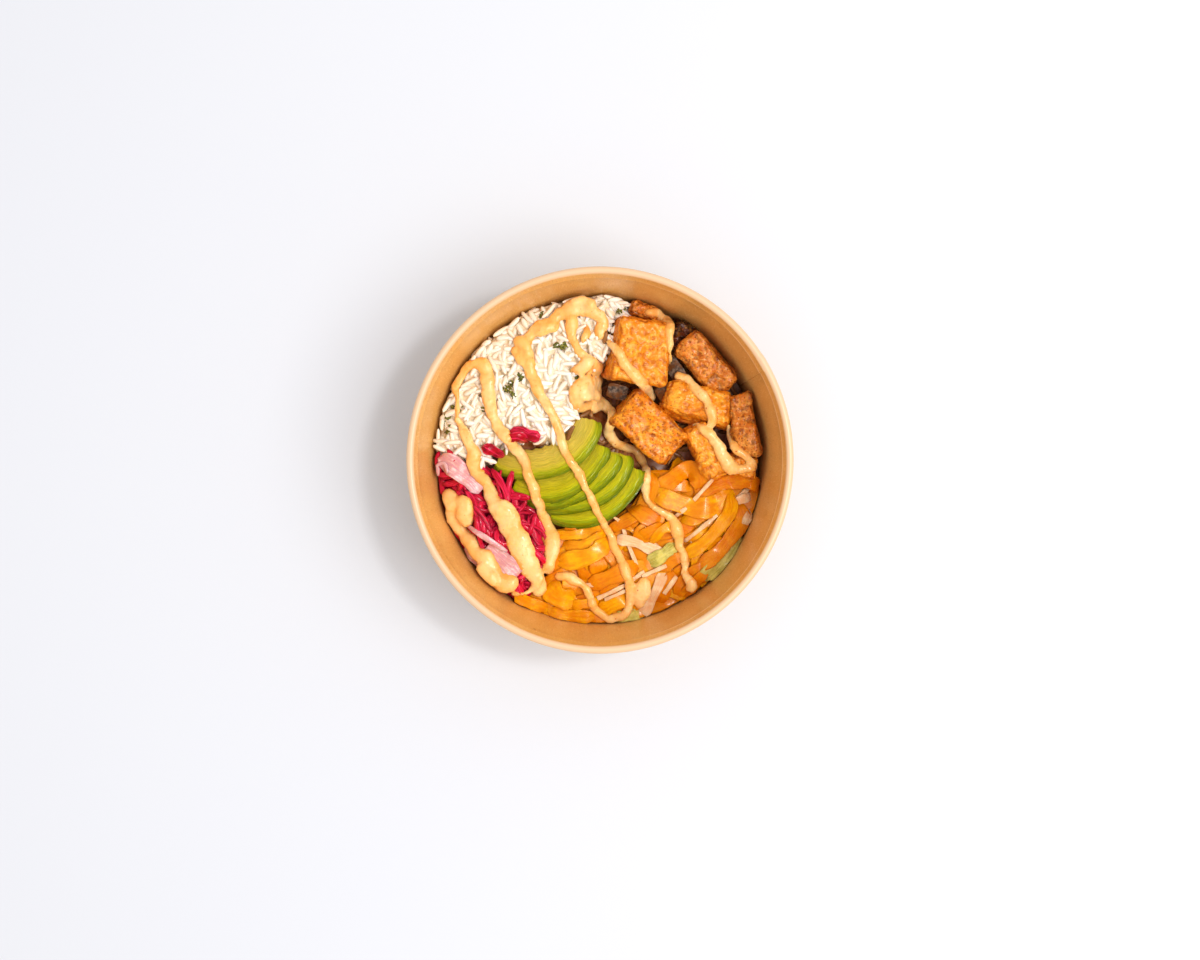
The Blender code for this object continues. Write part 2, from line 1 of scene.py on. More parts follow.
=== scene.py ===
"""The looks of a poke bowl: a kraft paper bowl with rice, seared salmon, a fan of
avocado, pickled red cabbage, a slaw of carrot and yellow pepper, and squeezed sauce.

Meshes are modelled in millimetres and become metres when they are put in the bowl.
Seen from above, +X is to the right and +Y is away.
"""

import json
import math
import random

import bmesh
import bpy
import numpy as np
from mathutils import Matrix, Vector, noise
from mathutils.bvhtree import BVHTree

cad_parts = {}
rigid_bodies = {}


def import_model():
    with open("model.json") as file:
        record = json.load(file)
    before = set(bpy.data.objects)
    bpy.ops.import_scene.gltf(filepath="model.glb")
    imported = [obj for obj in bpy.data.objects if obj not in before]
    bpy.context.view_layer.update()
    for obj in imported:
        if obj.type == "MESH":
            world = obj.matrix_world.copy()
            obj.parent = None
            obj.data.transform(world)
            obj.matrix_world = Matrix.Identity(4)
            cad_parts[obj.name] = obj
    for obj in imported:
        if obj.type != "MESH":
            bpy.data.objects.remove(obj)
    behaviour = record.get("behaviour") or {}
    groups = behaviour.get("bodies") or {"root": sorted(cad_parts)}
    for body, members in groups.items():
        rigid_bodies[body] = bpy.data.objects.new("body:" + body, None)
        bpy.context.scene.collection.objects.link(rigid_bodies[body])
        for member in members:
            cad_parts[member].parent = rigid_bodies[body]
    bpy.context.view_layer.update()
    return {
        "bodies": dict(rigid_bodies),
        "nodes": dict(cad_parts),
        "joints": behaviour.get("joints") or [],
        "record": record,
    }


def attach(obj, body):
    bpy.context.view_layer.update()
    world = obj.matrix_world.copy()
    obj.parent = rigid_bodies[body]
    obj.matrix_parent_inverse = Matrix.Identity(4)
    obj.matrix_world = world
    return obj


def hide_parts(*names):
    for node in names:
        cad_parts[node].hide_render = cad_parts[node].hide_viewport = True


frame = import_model()


# The bowl is one wrapped sheet of brown paperboard, coated on the inside. Its side
# edges overlap in a glued seam, its mouth is rolled outwards into a curl, and a
# pressed disc closes the bottom inside the folded foot.
MM = 0.001
RIM_RADIUS = 75.0
HEIGHT = 60.0
CURL_RADIUS = 1.5
PAPER = 0.6
FOOT_RADIUS = 63.6
FOOT_WIDTH = 1.8
FLOOR_TOP = 6.0
FLOOR_UNDER = 5.1
CREASE_LEVEL = 53.5
CREASE_DEPTH = 0.05
SEAM_ANGLE = math.radians(28.5)
SEAM_WIDTH = math.radians(4.5)
SEAM_FADE = math.radians(16)
SEAM_STEP = 0.32
SEAM_CUT = 0.002
BOWL_STEPS = 192
CURL_POINTS = 27
CURL_TURN = 12.0
WALL_GAP = 0.15


def colour(red, green, blue):
    """A colour as seen on screen, from 0 to 255, as the linear light that shaders use."""
    shown = (red / 255, green / 255, blue / 255)
    return (*((c / 12.92 if c < 0.04045 else ((c + 0.055) / 1.055) ** 2.4) for c in shown), 1.0)


def node(tree, kind, inputs=(), **settings):
    """Adds a shader node. Each input is given a value or linked to another socket."""
    made = tree.nodes.new("ShaderNode" + kind)
    for key, value in settings.items():
        setattr(made, key, value)
    for key, value in dict(inputs).items():
        if isinstance(value, bpy.types.NodeSocket):
            tree.links.new(value, made.inputs[key])
        else:
            made.inputs[key].default_value = value
    return made


def mixed(tree, mask, first, second, way="MIX"):
    """The first colour where the mask is 0, the second where it is 1."""
    return node(tree, "Mix", {0: mask, 6: first, 7: second}, data_type="RGBA", blend_type=way).outputs[2]


def effect(name, inputs, outputs):
    """An empty shader node group with the named sockets."""
    tree = bpy.data.node_groups.new(name, "ShaderNodeTree")
    for label, kind, value in inputs:
        socket = tree.interface.new_socket(label, in_out="INPUT", socket_type=kind)
        if value is not None:
            socket.default_value = value
    for label, kind in outputs:
        tree.interface.new_socket(label, in_out="OUTPUT", socket_type=kind)
    return tree, tree.nodes.new("NodeGroupInput").outputs, tree.nodes.new("NodeGroupOutput").inputs


def make_mottle():
    """Soft patches: 0 below Low, 1 above High, in a cloud pattern of the given scale."""
    tree, given, result = effect(
        "mottle",
        [("Vector", "NodeSocketVector", None), ("Scale", "NodeSocketFloat", 300.0),
         ("Low", "NodeSocketFloat", 0.4), ("High", "NodeSocketFloat", 0.6)],
        [("Mask", "NodeSocketFloat")],
    )
    cloud = node(tree, "TexNoise", {"Vector": given["Vector"], "Scale": given["Scale"], "Detail": 5.0,
                                    "Roughness": 0.6})
    spread = node(tree, "MapRange", {"Value": cloud.outputs[0], "From Min": given["Low"],
                                     "From Max": given["High"]}, interpolation_type="SMOOTHSTEP")
    tree.links.new(spread.outputs[0], result["Mask"])
    return tree


def make_flecks():
    """Small separate specks of Size, in a Share of the cells of a Scale."""
    tree, given, result = effect(
        "flecks",
        [("Vector", "NodeSocketVector", None), ("Scale", "NodeSocketFloat", 500.0),
         ("Size", "NodeSocketFloat", 0.25), ("Share", "NodeSocketFloat", 0.2)],
        [("Mask", "NodeSocketFloat")],
    )
    cells = node(tree, "TexVoronoi", {"Vector": given["Vector"], "Scale": given["Scale"]})
    inside = node(tree, "MapRange", {"Value": cells.outputs["Distance"], "From Min": given["Size"],
                                     "From Max": 0.0}, interpolation_type="SMOOTHSTEP")
    drawn = node(tree, "SeparateColor", {0: cells.outputs["Color"]})
    kept = node(tree, "Math", {0: drawn.outputs[0], 1: given["Share"]}, operation="LESS_THAN")
    mask = node(tree, "Math", {0: inside.outputs[0], 1: kept.outputs[0]}, operation="MULTIPLY")
    tree.links.new(mask.outputs[0], result["Mask"])
    return tree


mottle = make_mottle()
flecks = make_flecks()


def place(tree, group, **values):
    """Puts an effect into a material; an underscore in a name stands for a space."""
    made = tree.nodes.new("ShaderNodeGroup")
    made.node_tree = group
    for key, value in values.items():
        socket = made.inputs[key.replace("_", " ")]
        if isinstance(value, bpy.types.NodeSocket):
            tree.links.new(value, socket)
        else:
            socket.default_value = value
    return made.outputs[0]


def new_material(name, **values):
    """A Principled material with plain values; returns it, its tree and its shader."""
    made = bpy.data.materials.new(name)
    made.use_nodes = True
    tree = made.node_tree
    shader = tree.nodes["Principled BSDF"]
    for key, value in values.items():
        shader.inputs[key.replace("_", " ")].default_value = value
    return made, tree, shader


def on_object(tree):
    """Object coordinates, in metres."""
    return node(tree, "TexCoord").outputs["Object"]


def faded(tree, mask, share):
    """A mask at part of its strength."""
    return node(tree, "Math", {0: mask, 1: share}, operation="MULTIPLY").outputs[0]


def relief(tree, shader, height, distance, strength):
    """Low relief in a surface, at most as deep as the distance, in metres."""
    bump = node(tree, "Bump", {"Height": height, "Distance": distance, "Strength": strength})
    tree.links.new(bump.outputs[0], shader.inputs["Normal"])


def put_in_bowl(name, bm, surface, slot, *nodes, sharp=180.0):
    """Stores a mesh modelled in millimetres as a piece that rides on the bowl. Food
    that would reach past the bowl's inner face is pressed back to it."""
    for v in bm.verts if slot != "kraft_paper" else ():
        reach, limit = v.co.xy.length, wall_inner(v.co.z) - WALL_GAP
        if reach > limit:
            v.co.x, v.co.y = v.co.x * limit / reach, v.co.y * limit / reach
    mesh = bpy.data.meshes.new(name)
    bm.to_mesh(mesh)
    bm.free()
    mesh.transform(Matrix.Scale(MM, 4))
    mesh.shade_smooth()
    mesh.set_sharp_from_angle(angle=math.radians(sharp))
    mesh.materials.append(surface)
    piece = bpy.data.objects.new(name, mesh)
    bpy.context.scene.collection.objects.link(piece)
    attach(piece, "root")
    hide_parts(*nodes)
    return piece


def wall_inner(z):
    """Radius of the bowl's inner face at height z."""
    top = HEIGHT - CURL_RADIUS
    low = FOOT_RADIUS - PAPER
    return low + (RIM_RADIUS - 2 * CURL_RADIUS - low) * min(z, top) / top


def bowl_profile():
    """Half of the bowl's cut face, from the floor's middle up and over to the foot."""
    points = [(0.0, FLOOR_TOP), (30.0, FLOOR_TOP)]
    points += [(wall_inner(z), z) for z in (FLOOR_TOP, 14.0, 22.0, 30.0, 38.0, 46.0)]
    points += [(wall_inner(CREASE_LEVEL + rise) - CREASE_DEPTH * deep, CREASE_LEVEL + rise)
               for rise, deep in ((-0.5, 0), (-0.15, 1), (0.1, 1), (0.45, 0))]
    for k in range(CURL_POINTS):
        turn = math.radians(180 - CURL_TURN * k)
        points.append((RIM_RADIUS + CURL_RADIUS * (math.cos(turn) - 1),
                       HEIGHT + CURL_RADIUS * (math.sin(turn) - 1)))
    points += [(wall_inner(z) + PAPER, z) for z in (56.2, 50.0, 40.0, 30.0, 20.0, 10.4)]
    points += [(wall_inner(9.4) + PAPER - 0.22, 9.7), (wall_inner(8.4) + PAPER, 8.8)]
    points += [(wall_inner(4) + PAPER, 4.0)]
    foot_inner = FOOT_RADIUS - FOOT_WIDTH
    points += [(FOOT_RADIUS, 0.3), (FOOT_RADIUS - 0.3, 0.0), (foot_inner + 0.3, 0.0), (foot_inner, 0.3)]
    points += [(foot_inner, FLOOR_UNDER), (0.0, FLOOR_UNDER)]
    return points


def turned_past(x, y, edge):
    """Angle of a spot beyond an edge, from -180 to 180 degrees, in radians."""
    return (math.atan2(y, x) - edge + math.pi) % math.tau - math.pi


def make_bowl(paper):
    """Spins the cut face round, then steps the wall inside and out along the seam."""
    bm = bmesh.new()
    corners = [bm.verts.new((r, 0.0, z)) for r, z in bowl_profile()]
    edges = [bm.edges.new(pair) for pair in zip(corners, corners[1:])]
    bmesh.ops.spin(bm, geom=corners + edges, axis=(0, 0, 1), cent=(0, 0, 0), steps=BOWL_STEPS,
                   angle=math.tau, use_merge=True)
    bmesh.ops.remove_doubles(bm, verts=bm.verts, dist=0.001)
    bmesh.ops.recalc_face_normals(bm, faces=bm.faces)
    inner_edge, outer_edge = SEAM_ANGLE, SEAM_ANGLE + SEAM_WIDTH
    for edge in (inner_edge, outer_edge):
        for cut in (edge - SEAM_CUT, edge + SEAM_CUT):
            bmesh.ops.bisect_plane(bm, geom=bm.verts[:] + bm.edges[:] + bm.faces[:], dist=0.0001,
                                   plane_co=(0, 0, 0), plane_no=(-math.sin(cut), math.cos(cut), 0))
    for v in bm.verts:
        radius = v.co.to_2d().length
        if v.co.z < FLOOR_TOP - 0.1 or radius < FOOT_RADIUS - 3.6:
            continue
        outside = radius > wall_inner(v.co.z) + PAPER / 2
        past = turned_past(v.co.x, v.co.y, outer_edge if outside else inner_edge)
        past = -past if outside else past
        if 0.0 < past < SEAM_FADE:
            step = SEAM_STEP * (1 - past / SEAM_FADE) ** 2
            shift = step if outside else -step
            if v.co.z > HEIGHT - 2 * CURL_RADIUS + 0.1:
                shift *= 0.5
            v.co.xy *= (radius + shift) / radius
    return put_in_bowl("paper_bowl", bm, paper, "kraft_paper", "bowl", sharp=38.0)


def make_kraft():
    """Brown paper: long pale and dark fibres, cloudy pulp and a few brown specks. The top of the curl is
    paler than the wall, partly from its paler outer paper and partly as a painted highlight. A broken
    line along the crease on the right side is paler too, partly rubbed paper and partly a painted
    highlight."""
    made, tree, shader = new_material("kraft", Roughness=0.4, Specular_IOR_Level=0.4, Coat_Weight=0.3,
                                      Coat_Roughness=0.22)
    spot = on_object(tree)
    axes = node(tree, "SeparateXYZ", {0: spot}).outputs
    height = axes[2]
    # The curl's top, painted paler: partly its paler outer paper, partly a painted highlight.
    curl = node(tree, "MapRange", {"Value": height, "From Min": (HEIGHT - CURL_RADIUS) * MM,
                                   "From Max": (HEIGHT - 0.4) * MM}).outputs[0]
    off_crease = node(tree, "Math", {0: height, 1: CREASE_LEVEL * MM}, operation="SUBTRACT")
    near_crease = node(tree, "Math", {0: off_crease.outputs[0]}, operation="ABSOLUTE")
    crease = node(tree, "MapRange", {"Value": near_crease.outputs[0], "From Min": 0.6 * MM,
                                     "From Max": 0.2 * MM})
    # A pale, broken line along the crease on the right side only: partly rubbed paper, partly a painted
    # highlight.
    rubbed = node(tree, "MapRange", {"Value": axes[0], "From Min": 0.01, "From Max": 0.04}).outputs[0]
    worn = place(tree, mottle, Vector=spot, Scale=60.0, Low=0.3, High=0.5)
    worn_crease = faded(tree, crease.outputs[0], faded(tree, rubbed, worn))
    long_way = node(tree, "Mapping", {"Vector": spot, "Rotation": (0.4, 0.9, 0.3),
                                      "Scale": (1, 1, 0.16)})
    cross_way = node(tree, "Mapping", {"Vector": spot, "Rotation": (1.1, 0.2, 1.5),
                                       "Scale": (1, 1, 0.2)})
    pulp = place(tree, mottle, Vector=spot, Scale=70.0, Low=0.3, High=0.72)
    pale = place(tree, mottle, Vector=long_way.outputs[0], Scale=1900.0, Low=0.5, High=0.75)
    dark = place(tree, mottle, Vector=cross_way.outputs[0], Scale=1500.0, Low=0.52, High=0.8)
    speck = place(tree, flecks, Vector=spot, Scale=75.0, Size=0.07, Share=0.1)
    base = mixed(tree, pulp, colour(226, 174, 98), colour(234, 184, 108))
    base = mixed(tree, pale, base, colour(244, 202, 136))
    base = mixed(tree, dark, base, colour(210, 150, 76))
    # The crease line: painted highlight and rubbed paper.
    base = mixed(tree, worn_crease, base, colour(250, 214, 166))
    # Painted highlight and paler outer paper on the curl's top.
    base = mixed(tree, curl, base, colour(226, 190, 154))
    base = mixed(tree, speck, base, colour(120, 62, 22))
    tree.links.new(base, shader.inputs["Base Color"])
    fibre = node(tree, "Math", {0: pale, 1: dark}, operation="SUBTRACT")
    relief(tree, shader, fibre.outputs[0], 0.00005, 0.35)
    return made


make_bowl(make_kraft())


# The rice is steamed long-grain rice: a bed under everything, mounded at the back
# left. The bed is one core, and loose grains are laid on it one by one, each resting
# on what is under it, with chopped green herb through them.
BED_LEVEL = 19.0
BED_REACH = 72.0
FAN_BED_LEVEL = 28.6
FAN_BED_FALL = 0.146
FAN_BED_MIDDLE = Vector((-13, -3))
FAN_BED_REACH = 31.0
FAN_MIDDLE = Vector((-28.6, 23.7))
FAN_STEP = Vector((4.4, -4.75))
FAN_INNER = 20.0
RICE_EDGE_LEVEL = 28.0
RICE_TOP_LEVEL = 33.0
RICE_SLOPE_WIDTH = 7.0
RICE_OUTLINE = [
    (-90, 6), (-54, -1), (-46, 2), (-38, 8), (-28, 12), (-19, 8), (-13, 15), (-10, 25),
    (-6, 34), (2, 40), (4, 54), (9, 60), (14, 80), (-40, 95), (-95, 50),
]
GRAIN_LENGTH = 8.2
GRAIN_WIDTH = 2.15
MOUND_GRAINS = 1400
BED_GRAINS = 130
GRAIN_LEVEL_LIMIT = 35.4
FILM_DEPTH = 0.4
HERBS = [(-36, 27.5), (-47, 20), (9, 61), (-60.5, 16), (-15, 46.5), (-57, 22), (-31, 34), (-38, 29),
         (-22, 57), (-8, 33), (-62, 12)]


def outline_distance(point, outline):
    """Distance from a point to a closed outline, positive inside it."""
    inside = False
    nearest = math.inf
    for (ax, ay), (bx, by) in zip(outline, outline[1:] + outline[:1]):
        a, b = Vector((ax, ay)), Vector((bx, by))
        share = (point - a).dot(b - a) / (b - a).length_squared
        nearest = min(nearest, (a + (b - a) * min(1, max(0, share)) - point).length)
        if (ay > point.y) != (by > point.y):
            if point.x < ax + (point.y - ay) / (by - ay) * (bx - ax):
                inside = not inside
    return nearest if inside else -nearest


def blend(share):
    """Eases a share in and out, and keeps it from 0 to 1."""
    share = min(1.0, max(0.0, share))
    return share * share * (3 - 2 * share)


def cloud(x, y, size, seed=0.0):
    """Smooth unevenness from about -1 to 1, with bumps of the given size."""
    return noise.noise(Vector((x / size, y / size, seed)))


def off_wall(point, edge, width):
    """0 at the wall, where the food ends, to 1 a width further in."""
    return blend((edge - point.length) / width)


def rice_top(point):
    """Level of the rice bed: a mound, a low slope under the fan, and a flat rest."""
    mound = RICE_EDGE_LEVEL + (RICE_TOP_LEVEL - RICE_EDGE_LEVEL) * off_wall(point, 66, 26)
    mound += 1.6 * cloud(point.x, point.y, 9)
    down_fan = (point - FAN_MIDDLE).dot(FAN_STEP.normalized()) - FAN_INNER
    near_fan = blend((FAN_BED_REACH - (point - FAN_BED_MIDDLE).length) / 12)
    bed = BED_LEVEL + (FAN_BED_LEVEL - FAN_BED_FALL * down_fan - BED_LEVEL) * near_fan
    bed += 0.8 * cloud(point.x, point.y, 6, 3.0)
    return bed + (mound - bed) * blend(0.5 + outline_distance(point, RICE_OUTLINE) / RICE_SLOPE_WIDTH)


def heap_core(middle, reach, top, bottom, around, rings):
    """A UV sphere pressed into a heap: its upper rings lie on the top surface, its
    last ring is the lower edge. Nothing reaches through the bowl's wall."""
    middle = Vector(middle)
    bm = bmesh.new()
    rows = rings + 2
    bmesh.ops.create_uvsphere(bm, u_segments=around, v_segments=rows, radius=1.0)
    for v in bm.verts:
        row = round(math.acos(max(-1.0, min(1.0, v.co.z))) / math.pi * rows)
        upper = row <= rings
        share = row / rings if upper else (1.0 if row < rows else 0.0)
        spot = middle.copy()
        if share:
            direction = v.co.to_2d().normalized()
            spot += direction * reach(direction) * share
        z = top(spot) if upper else bottom
        limit = wall_inner(z) - 0.6
        if spot.length > limit:
            spot *= limit / spot.length
        v.co = (spot.x, spot.y, z)
    return bm


class Relief:
    """How high the food stands at each spot of the bowl, on a fine square grid."""

    def __init__(self, reach, cell, floor):
        self.reach = reach
        self.cell = cell
        self.count = int(2 * reach / cell) + 1
        self.level = np.full((self.count, self.count), floor)

    def index(self, length):
        """The grid line nearest to a place along X or Y."""
        return min(self.count - 1, max(0, round((length + self.reach) / self.cell)))

    def at(self, x, y):
        """How high the food stands at a spot."""
        return self.level[self.index(x), self.index(y)]

    def cover(self, bm):
        """Raises the grid to the top of a mesh that now lies in the bowl."""
        tree = BVHTree.FromBMesh(bm)
        places = np.array([v.co for v in bm.verts])
        low, high = places.min(0), places.max(0)
        for i in range(self.index(low[0]), self.index(high[0]) + 1):
            for j in range(self.index(low[1]), self.index(high[1]) + 1):
                above = Vector((i * self.cell - self.reach, j * self.cell - self.reach, 200.0))
                hit = tree.ray_cast(above, Vector((0, 0, -1)))[0]
                if hit and hit.z > self.level[i, j]:
                    self.level[i, j] = hit.z


class Loose:
    """Many small pieces of one kind, kept apart until they are joined into one piece."""

    def __init__(self):
        self.meshes = []

    def add(self, bm, shade):
        """Keeps one small piece, with its own shade from 0 to 1."""
        layer = bm.verts.layers.float.get("shade") or bm.verts.layers.float.new("shade")
        for v in bm.verts:
            v[layer] = shade
        mesh = bpy.data.meshes.new("loose")
        bm.to_mesh(mesh)
        self.meshes.append(mesh)
        bm.free()

    def join(self, name, surface, slot, *nodes, sharp=180.0):
        """Joins them all into the one piece that goes in the bowl."""
        parts = []
        for mesh in self.meshes:
            part = bpy.data.objects.new("loose", mesh)
            bpy.context.scene.collection.objects.link(part)
            parts.append(part)
        with bpy.context.temp_override(active_object=parts[0], selected_editable_objects=parts):
            bpy.ops.object.join()
        bm = bmesh.new()
        bm.from_mesh(parts[0].data)
        bpy.data.objects.remove(parts[0])
        return put_in_bowl(name, bm, surface, slot, *nodes, sharp=sharp)


food = Relief(76.0, 0.5, FLOOR_TOP)


def rest_on_food(x, y, heading, half, radius):
    """Middle and tilt of a short straight piece that lies on the food, and its level."""
    dx, dy = math.cos(heading), math.sin(heading)
    stations = [-0.85 * half, -0.45 * half, 0.0, 0.45 * half, 0.85 * half]
    under = []
    for s in stations:
        under.append(max(food.at(x + s * dx - side * dy, y + s * dy + side * dx)
                         for side in (-0.5 * radius, 0, 0.5 * radius)))
    slope = (max(under[3:]) - max(under[:2])) / (1.3 * half)
    slope = max(-0.4, min(0.4, slope))
    rests = sorted(h - slope * s for h, s in zip(under, stations))
    return 0.65 * rests[-1] + 0.35 * rests[-2], slope


def make_grain(draw, length, width):
    """A cooked grain: blunt at one end, finer at the other, a little bent."""
    bm = bmesh.new()
    bmesh.ops.create_uvsphere(bm, u_segments=7, v_segments=8, radius=1.0)
    bend = draw.uniform(-0.1, 0.1) * length
    fine = draw.uniform(0.0, 0.22)
    flat = draw.uniform(0.72, 0.95)
    for v in bm.verts:
        along = v.co.z
        blunt = math.sqrt((1 - abs(along) ** 3 + 1e-6) / (1 - along * along + 1e-6))
        thick = width / 2 * (1 - fine * along) * min(1.6, blunt)
        v.co = (along * length / 2, v.co.x * thick + bend * along * along, v.co.y * thick * flat)
    return bm


def lay_grain(grains, draw, x, y, tries):
    """Puts a grain where it lies lowest among a few turns near the spot."""
    half = GRAIN_LENGTH / 2 * draw.uniform(0.6, 1.15)
    radius = GRAIN_WIDTH / 2 * draw.uniform(0.82, 1.15)
    best = None
    for _ in range(tries):
        sx, sy = x + draw.uniform(-2.2, 2.2), y + draw.uniform(-2.2, 2.2)
        heading = math.pi * 2.4 * cloud(sx, sy, 8, 7.0) + draw.gauss(0, 0.65)
        level, slope = rest_on_food(sx, sy, heading, half, radius)
        if best is None or level < best[0]:
            best = (level, slope, sx, sy, heading)
    level, slope, sx, sy, heading = best
    middle = Vector((sx, sy, level + radius * 0.05))
    reach = Vector((abs(math.cos(heading)), abs(math.sin(heading)))) * half
    if middle.to_2d().length + reach.length * 0.7 > wall_inner(middle.z) - 0.9:
        inward = middle.to_2d().normalized()
        heading = math.atan2(inward.x, -inward.y) + draw.uniform(-0.2, 0.2)
        if middle.to_2d().length + radius > wall_inner(middle.z) - 0.7:
            return
    if middle.z > GRAIN_LEVEL_LIMIT + 1.5 * off_wall(middle.to_2d(), 66, 26):
        return
    grain = make_grain(draw, 2 * half, 2 * radius)
    slope += draw.gauss(0, 0.08)
    pose = Matrix.Translation(middle) @ Matrix.Rotation(heading, 4, "Z")
    rolled = Matrix.Rotation(draw.uniform(0, math.tau), 4, "X")
    pose @= Matrix.Rotation(-math.atan(slope), 4, "Y") @ rolled
    bmesh.ops.transform(grain, matrix=pose, verts=grain.verts)
    food.cover(grain)
    grains.add(grain, draw.random())


def scatter_rice(white, soaked):
    """White grains over the mound; on the bed beside it, grains coloured brown as painted shade in the
    gaps between the other food.
    """
    draw = random.Random(5)
    left = MOUND_GRAINS
    while left:
        spot = Vector((draw.uniform(-68, 16), draw.uniform(-4, 68)))
        if spot.length < 67 and outline_distance(spot, RICE_OUTLINE) > -0.5:
            lay_grain(white, draw, spot.x, spot.y, 3)
            left -= 1
    left = BED_GRAINS
    while left:
        spot = Vector((draw.uniform(-16, 66), draw.uniform(-8, 66)))
        if spot.length < 65 and outline_distance(spot, RICE_OUTLINE) < 0:
            lay_grain(soaked, draw, spot.x, spot.y, 4)
            left -= 1


def raise_film(bed):
    """Starch fills the gaps between the grains to a little below their tops."""
    level = food.level
    for _ in range(6):
        level = (level + np.roll(level, 1, 0) + np.roll(level, -1, 0) + np.roll(level, 1, 1)
                 + np.roll(level, -1, 1)) / 5
    for v in bed.verts:
        if v.co.z > RICE_EDGE_LEVEL - 4:
            v.co.z = max(v.co.z, level[food.index(v.co.x), food.index(v.co.y)] - FILM_DEPTH)


def make_flake(draw, size):
    """A torn bit of leaf, curled across its middle."""
    bm = bmesh.new()
    bmesh.ops.create_grid(bm, x_segments=4, y_segments=4, size=size / 2)
    for v in bm.verts:
        v.co.x *= 1.4 - 0.25 * abs(v.co.y)
        v.co.xy *= 1 + 0.35 * draw.uniform(-1, 1)
        v.co.z = 0.25 * v.co.x * v.co.x / size + draw.uniform(-0.08, 0.08)
    bmesh.ops.solidify(bm, geom=bm.faces[:], thickness=0.18)
    return bm


def scatter_herbs():
    """Three torn bits of leaf at each spot, lying on the grains."""
    draw = random.Random(21)
    herbs = Loose()
    for x, y in HERBS:
        for _ in range(3):
            flake = make_flake(draw, draw.uniform(0.9, 2.4))
            sx, sy = x + draw.gauss(0, 1.2), y + draw.gauss(0, 1.2)
            pose = Matrix.Translation((sx, sy, food.at(sx, sy) + 0.05))
            pose @= Matrix.Rotation(draw.uniform(0, math.tau), 4, "Z")
            pose @= Matrix.Rotation(draw.uniform(-0.5, 0.5), 4, "X")
            bmesh.ops.transform(flake, matrix=pose, verts=flake.verts)
            herbs.add(flake, draw.random())
    return herbs


def shade_of(tree):
    """The random share that each loose piece carries."""
    return node(tree, "Attribute", attribute_name="shade").outputs["Fac"]


def make_rice_surface(name, bright, dull):
    """Moist starch: milky, slightly clear at the thin ends, softly shining."""
    made, tree, shader = new_material(name, Roughness=0.3, Subsurface_Weight=0.35,
                                      Subsurface_Scale=0.0012, Subsurface_Radius=(1.0, 0.8, 0.55),
                                      Specular_IOR_Level=0.4)
    spot = on_object(tree)
    milky = place(tree, mottle, Vector=spot, Scale=420.0, Low=0.35, High=0.7)
    base = mixed(tree, shade_of(tree), bright, dull)
    base = mixed(tree, faded(tree, milky, 0.15), base, bright)
    tree.links.new(base, shader.inputs["Base Color"])
    fine = node(tree, "TexNoise", {"Vector": spot, "Scale": 1400.0, "Detail": 3.0})
    relief(tree, shader, fine.outputs[0], 0.00008, 0.3)
    return made


def make_herb_surface():
    """Chopped green leaf with darker veins."""
    made, tree, shader = new_material("herb", Roughness=0.5, Subsurface_Weight=0.2,
                                      Subsurface_Scale=0.001)
    base = mixed(tree, shade_of(tree), colour(96, 104, 12), colour(150, 140, 40))
    vein = place(tree, mottle, Vector=on_object(tree), Scale=1500.0, Low=0.4, High=0.6)
    base = mixed(tree, vein, base, colour(70, 74, 10))
    tree.links.new(base, shader.inputs["Base Color"])
    return made


def lowered(top, amount):
    """A surface that lies an amount below another."""
    return lambda point: top(point) - amount


rice_bed = heap_core((0, 0), lambda direction: BED_REACH, lowered(rice_top, 1.2), FLOOR_TOP + 0.3,
                     around=240, rings=80)
food.cover(rice_bed)
# Beyond the mound's outline the bed lies in the gaps between the other food, where a share of painted
# shade turns it dark brown.
dryness = rice_bed.verts.layers.float.new("shade")
for v in rice_bed.verts:
    v[dryness] = blend(0.1 - outline_distance(v.co.to_2d(), RICE_OUTLINE) / 5)
starch = make_rice_surface("steamed_rice", colour(252, 243, 230), colour(244, 230, 210))
# The bed's second, dark brown colour is painted shade for those gaps.
packed_starch = make_rice_surface("packed_rice", colour(248, 226, 194), colour(146, 78, 22))
# Brown grains for the gaps beside the mound: their colours are painted shade.
soaked_starch = make_rice_surface("rice_in_painted_shade", colour(176, 124, 72), colour(116, 72, 34))
white_grains, soaked_grains = Loose(), Loose()
scatter_rice(white_grains, soaked_grains)
raise_film(rice_bed)
put_in_bowl("rice_bed", rice_bed, packed_starch, "rice", "rice")
white_grains.join("rice_grains", starch, "rice", "rice")
soaked_grains.join("soaked_grains", soaked_starch, "rice", "rice")
scatter_herbs().join("chopped_herb", make_herb_surface(), "rice", "rice")


# The salmon is cut into blocks and seared in spiced oil: a golden crust with browned patches and dark
# specks, pale fat between the flakes, and paler flesh low on the sides. The blocks lie on the rice at
# the back right. Painted shade darkens their hollows and, with real browning, their edges. The block
# sunk among the others gets a darker copy of the crust as painted shade.
SALMON = [
    ((15.2, 44.6, 29.6), (22.5, 25.5, 16.5), -8, 14, 6),
    ((18.2, 61.0, 25.6), (12.5, 7.0, 12.0), -16, 0, 0),
    ((31.5, 48.5, 22.6), (9.0, 15.5, 10.0), -32, 6, 0),
    ((42.6, 39.6, 27.4), (25.5, 13.6, 14.5), -48, 4, 8),
    ((39.4, 23.2, 26.6), (28.0, 14.4, 14.0), -12, 0, -6),
    ((58.0, 14.6, 26.4), (24.5, 10.4, 14.0), 98, 0, 4),
    ((20.2, 13.8, 27.0), (29.5, 16.8, 15.5), -42, -4, 6),
    ((43.4, 4.6, 26.0), (23.5, 11.5, 13.5), -62, 0, 6),
    ((57.6, -1.6, 25.0), (12.5, 9.4, 12.0), -18, 0, 0),
]
BLOCK_CORNER = 2.3
BLOCK_CUTS = 43
FLAKE_PITCH = 3.3


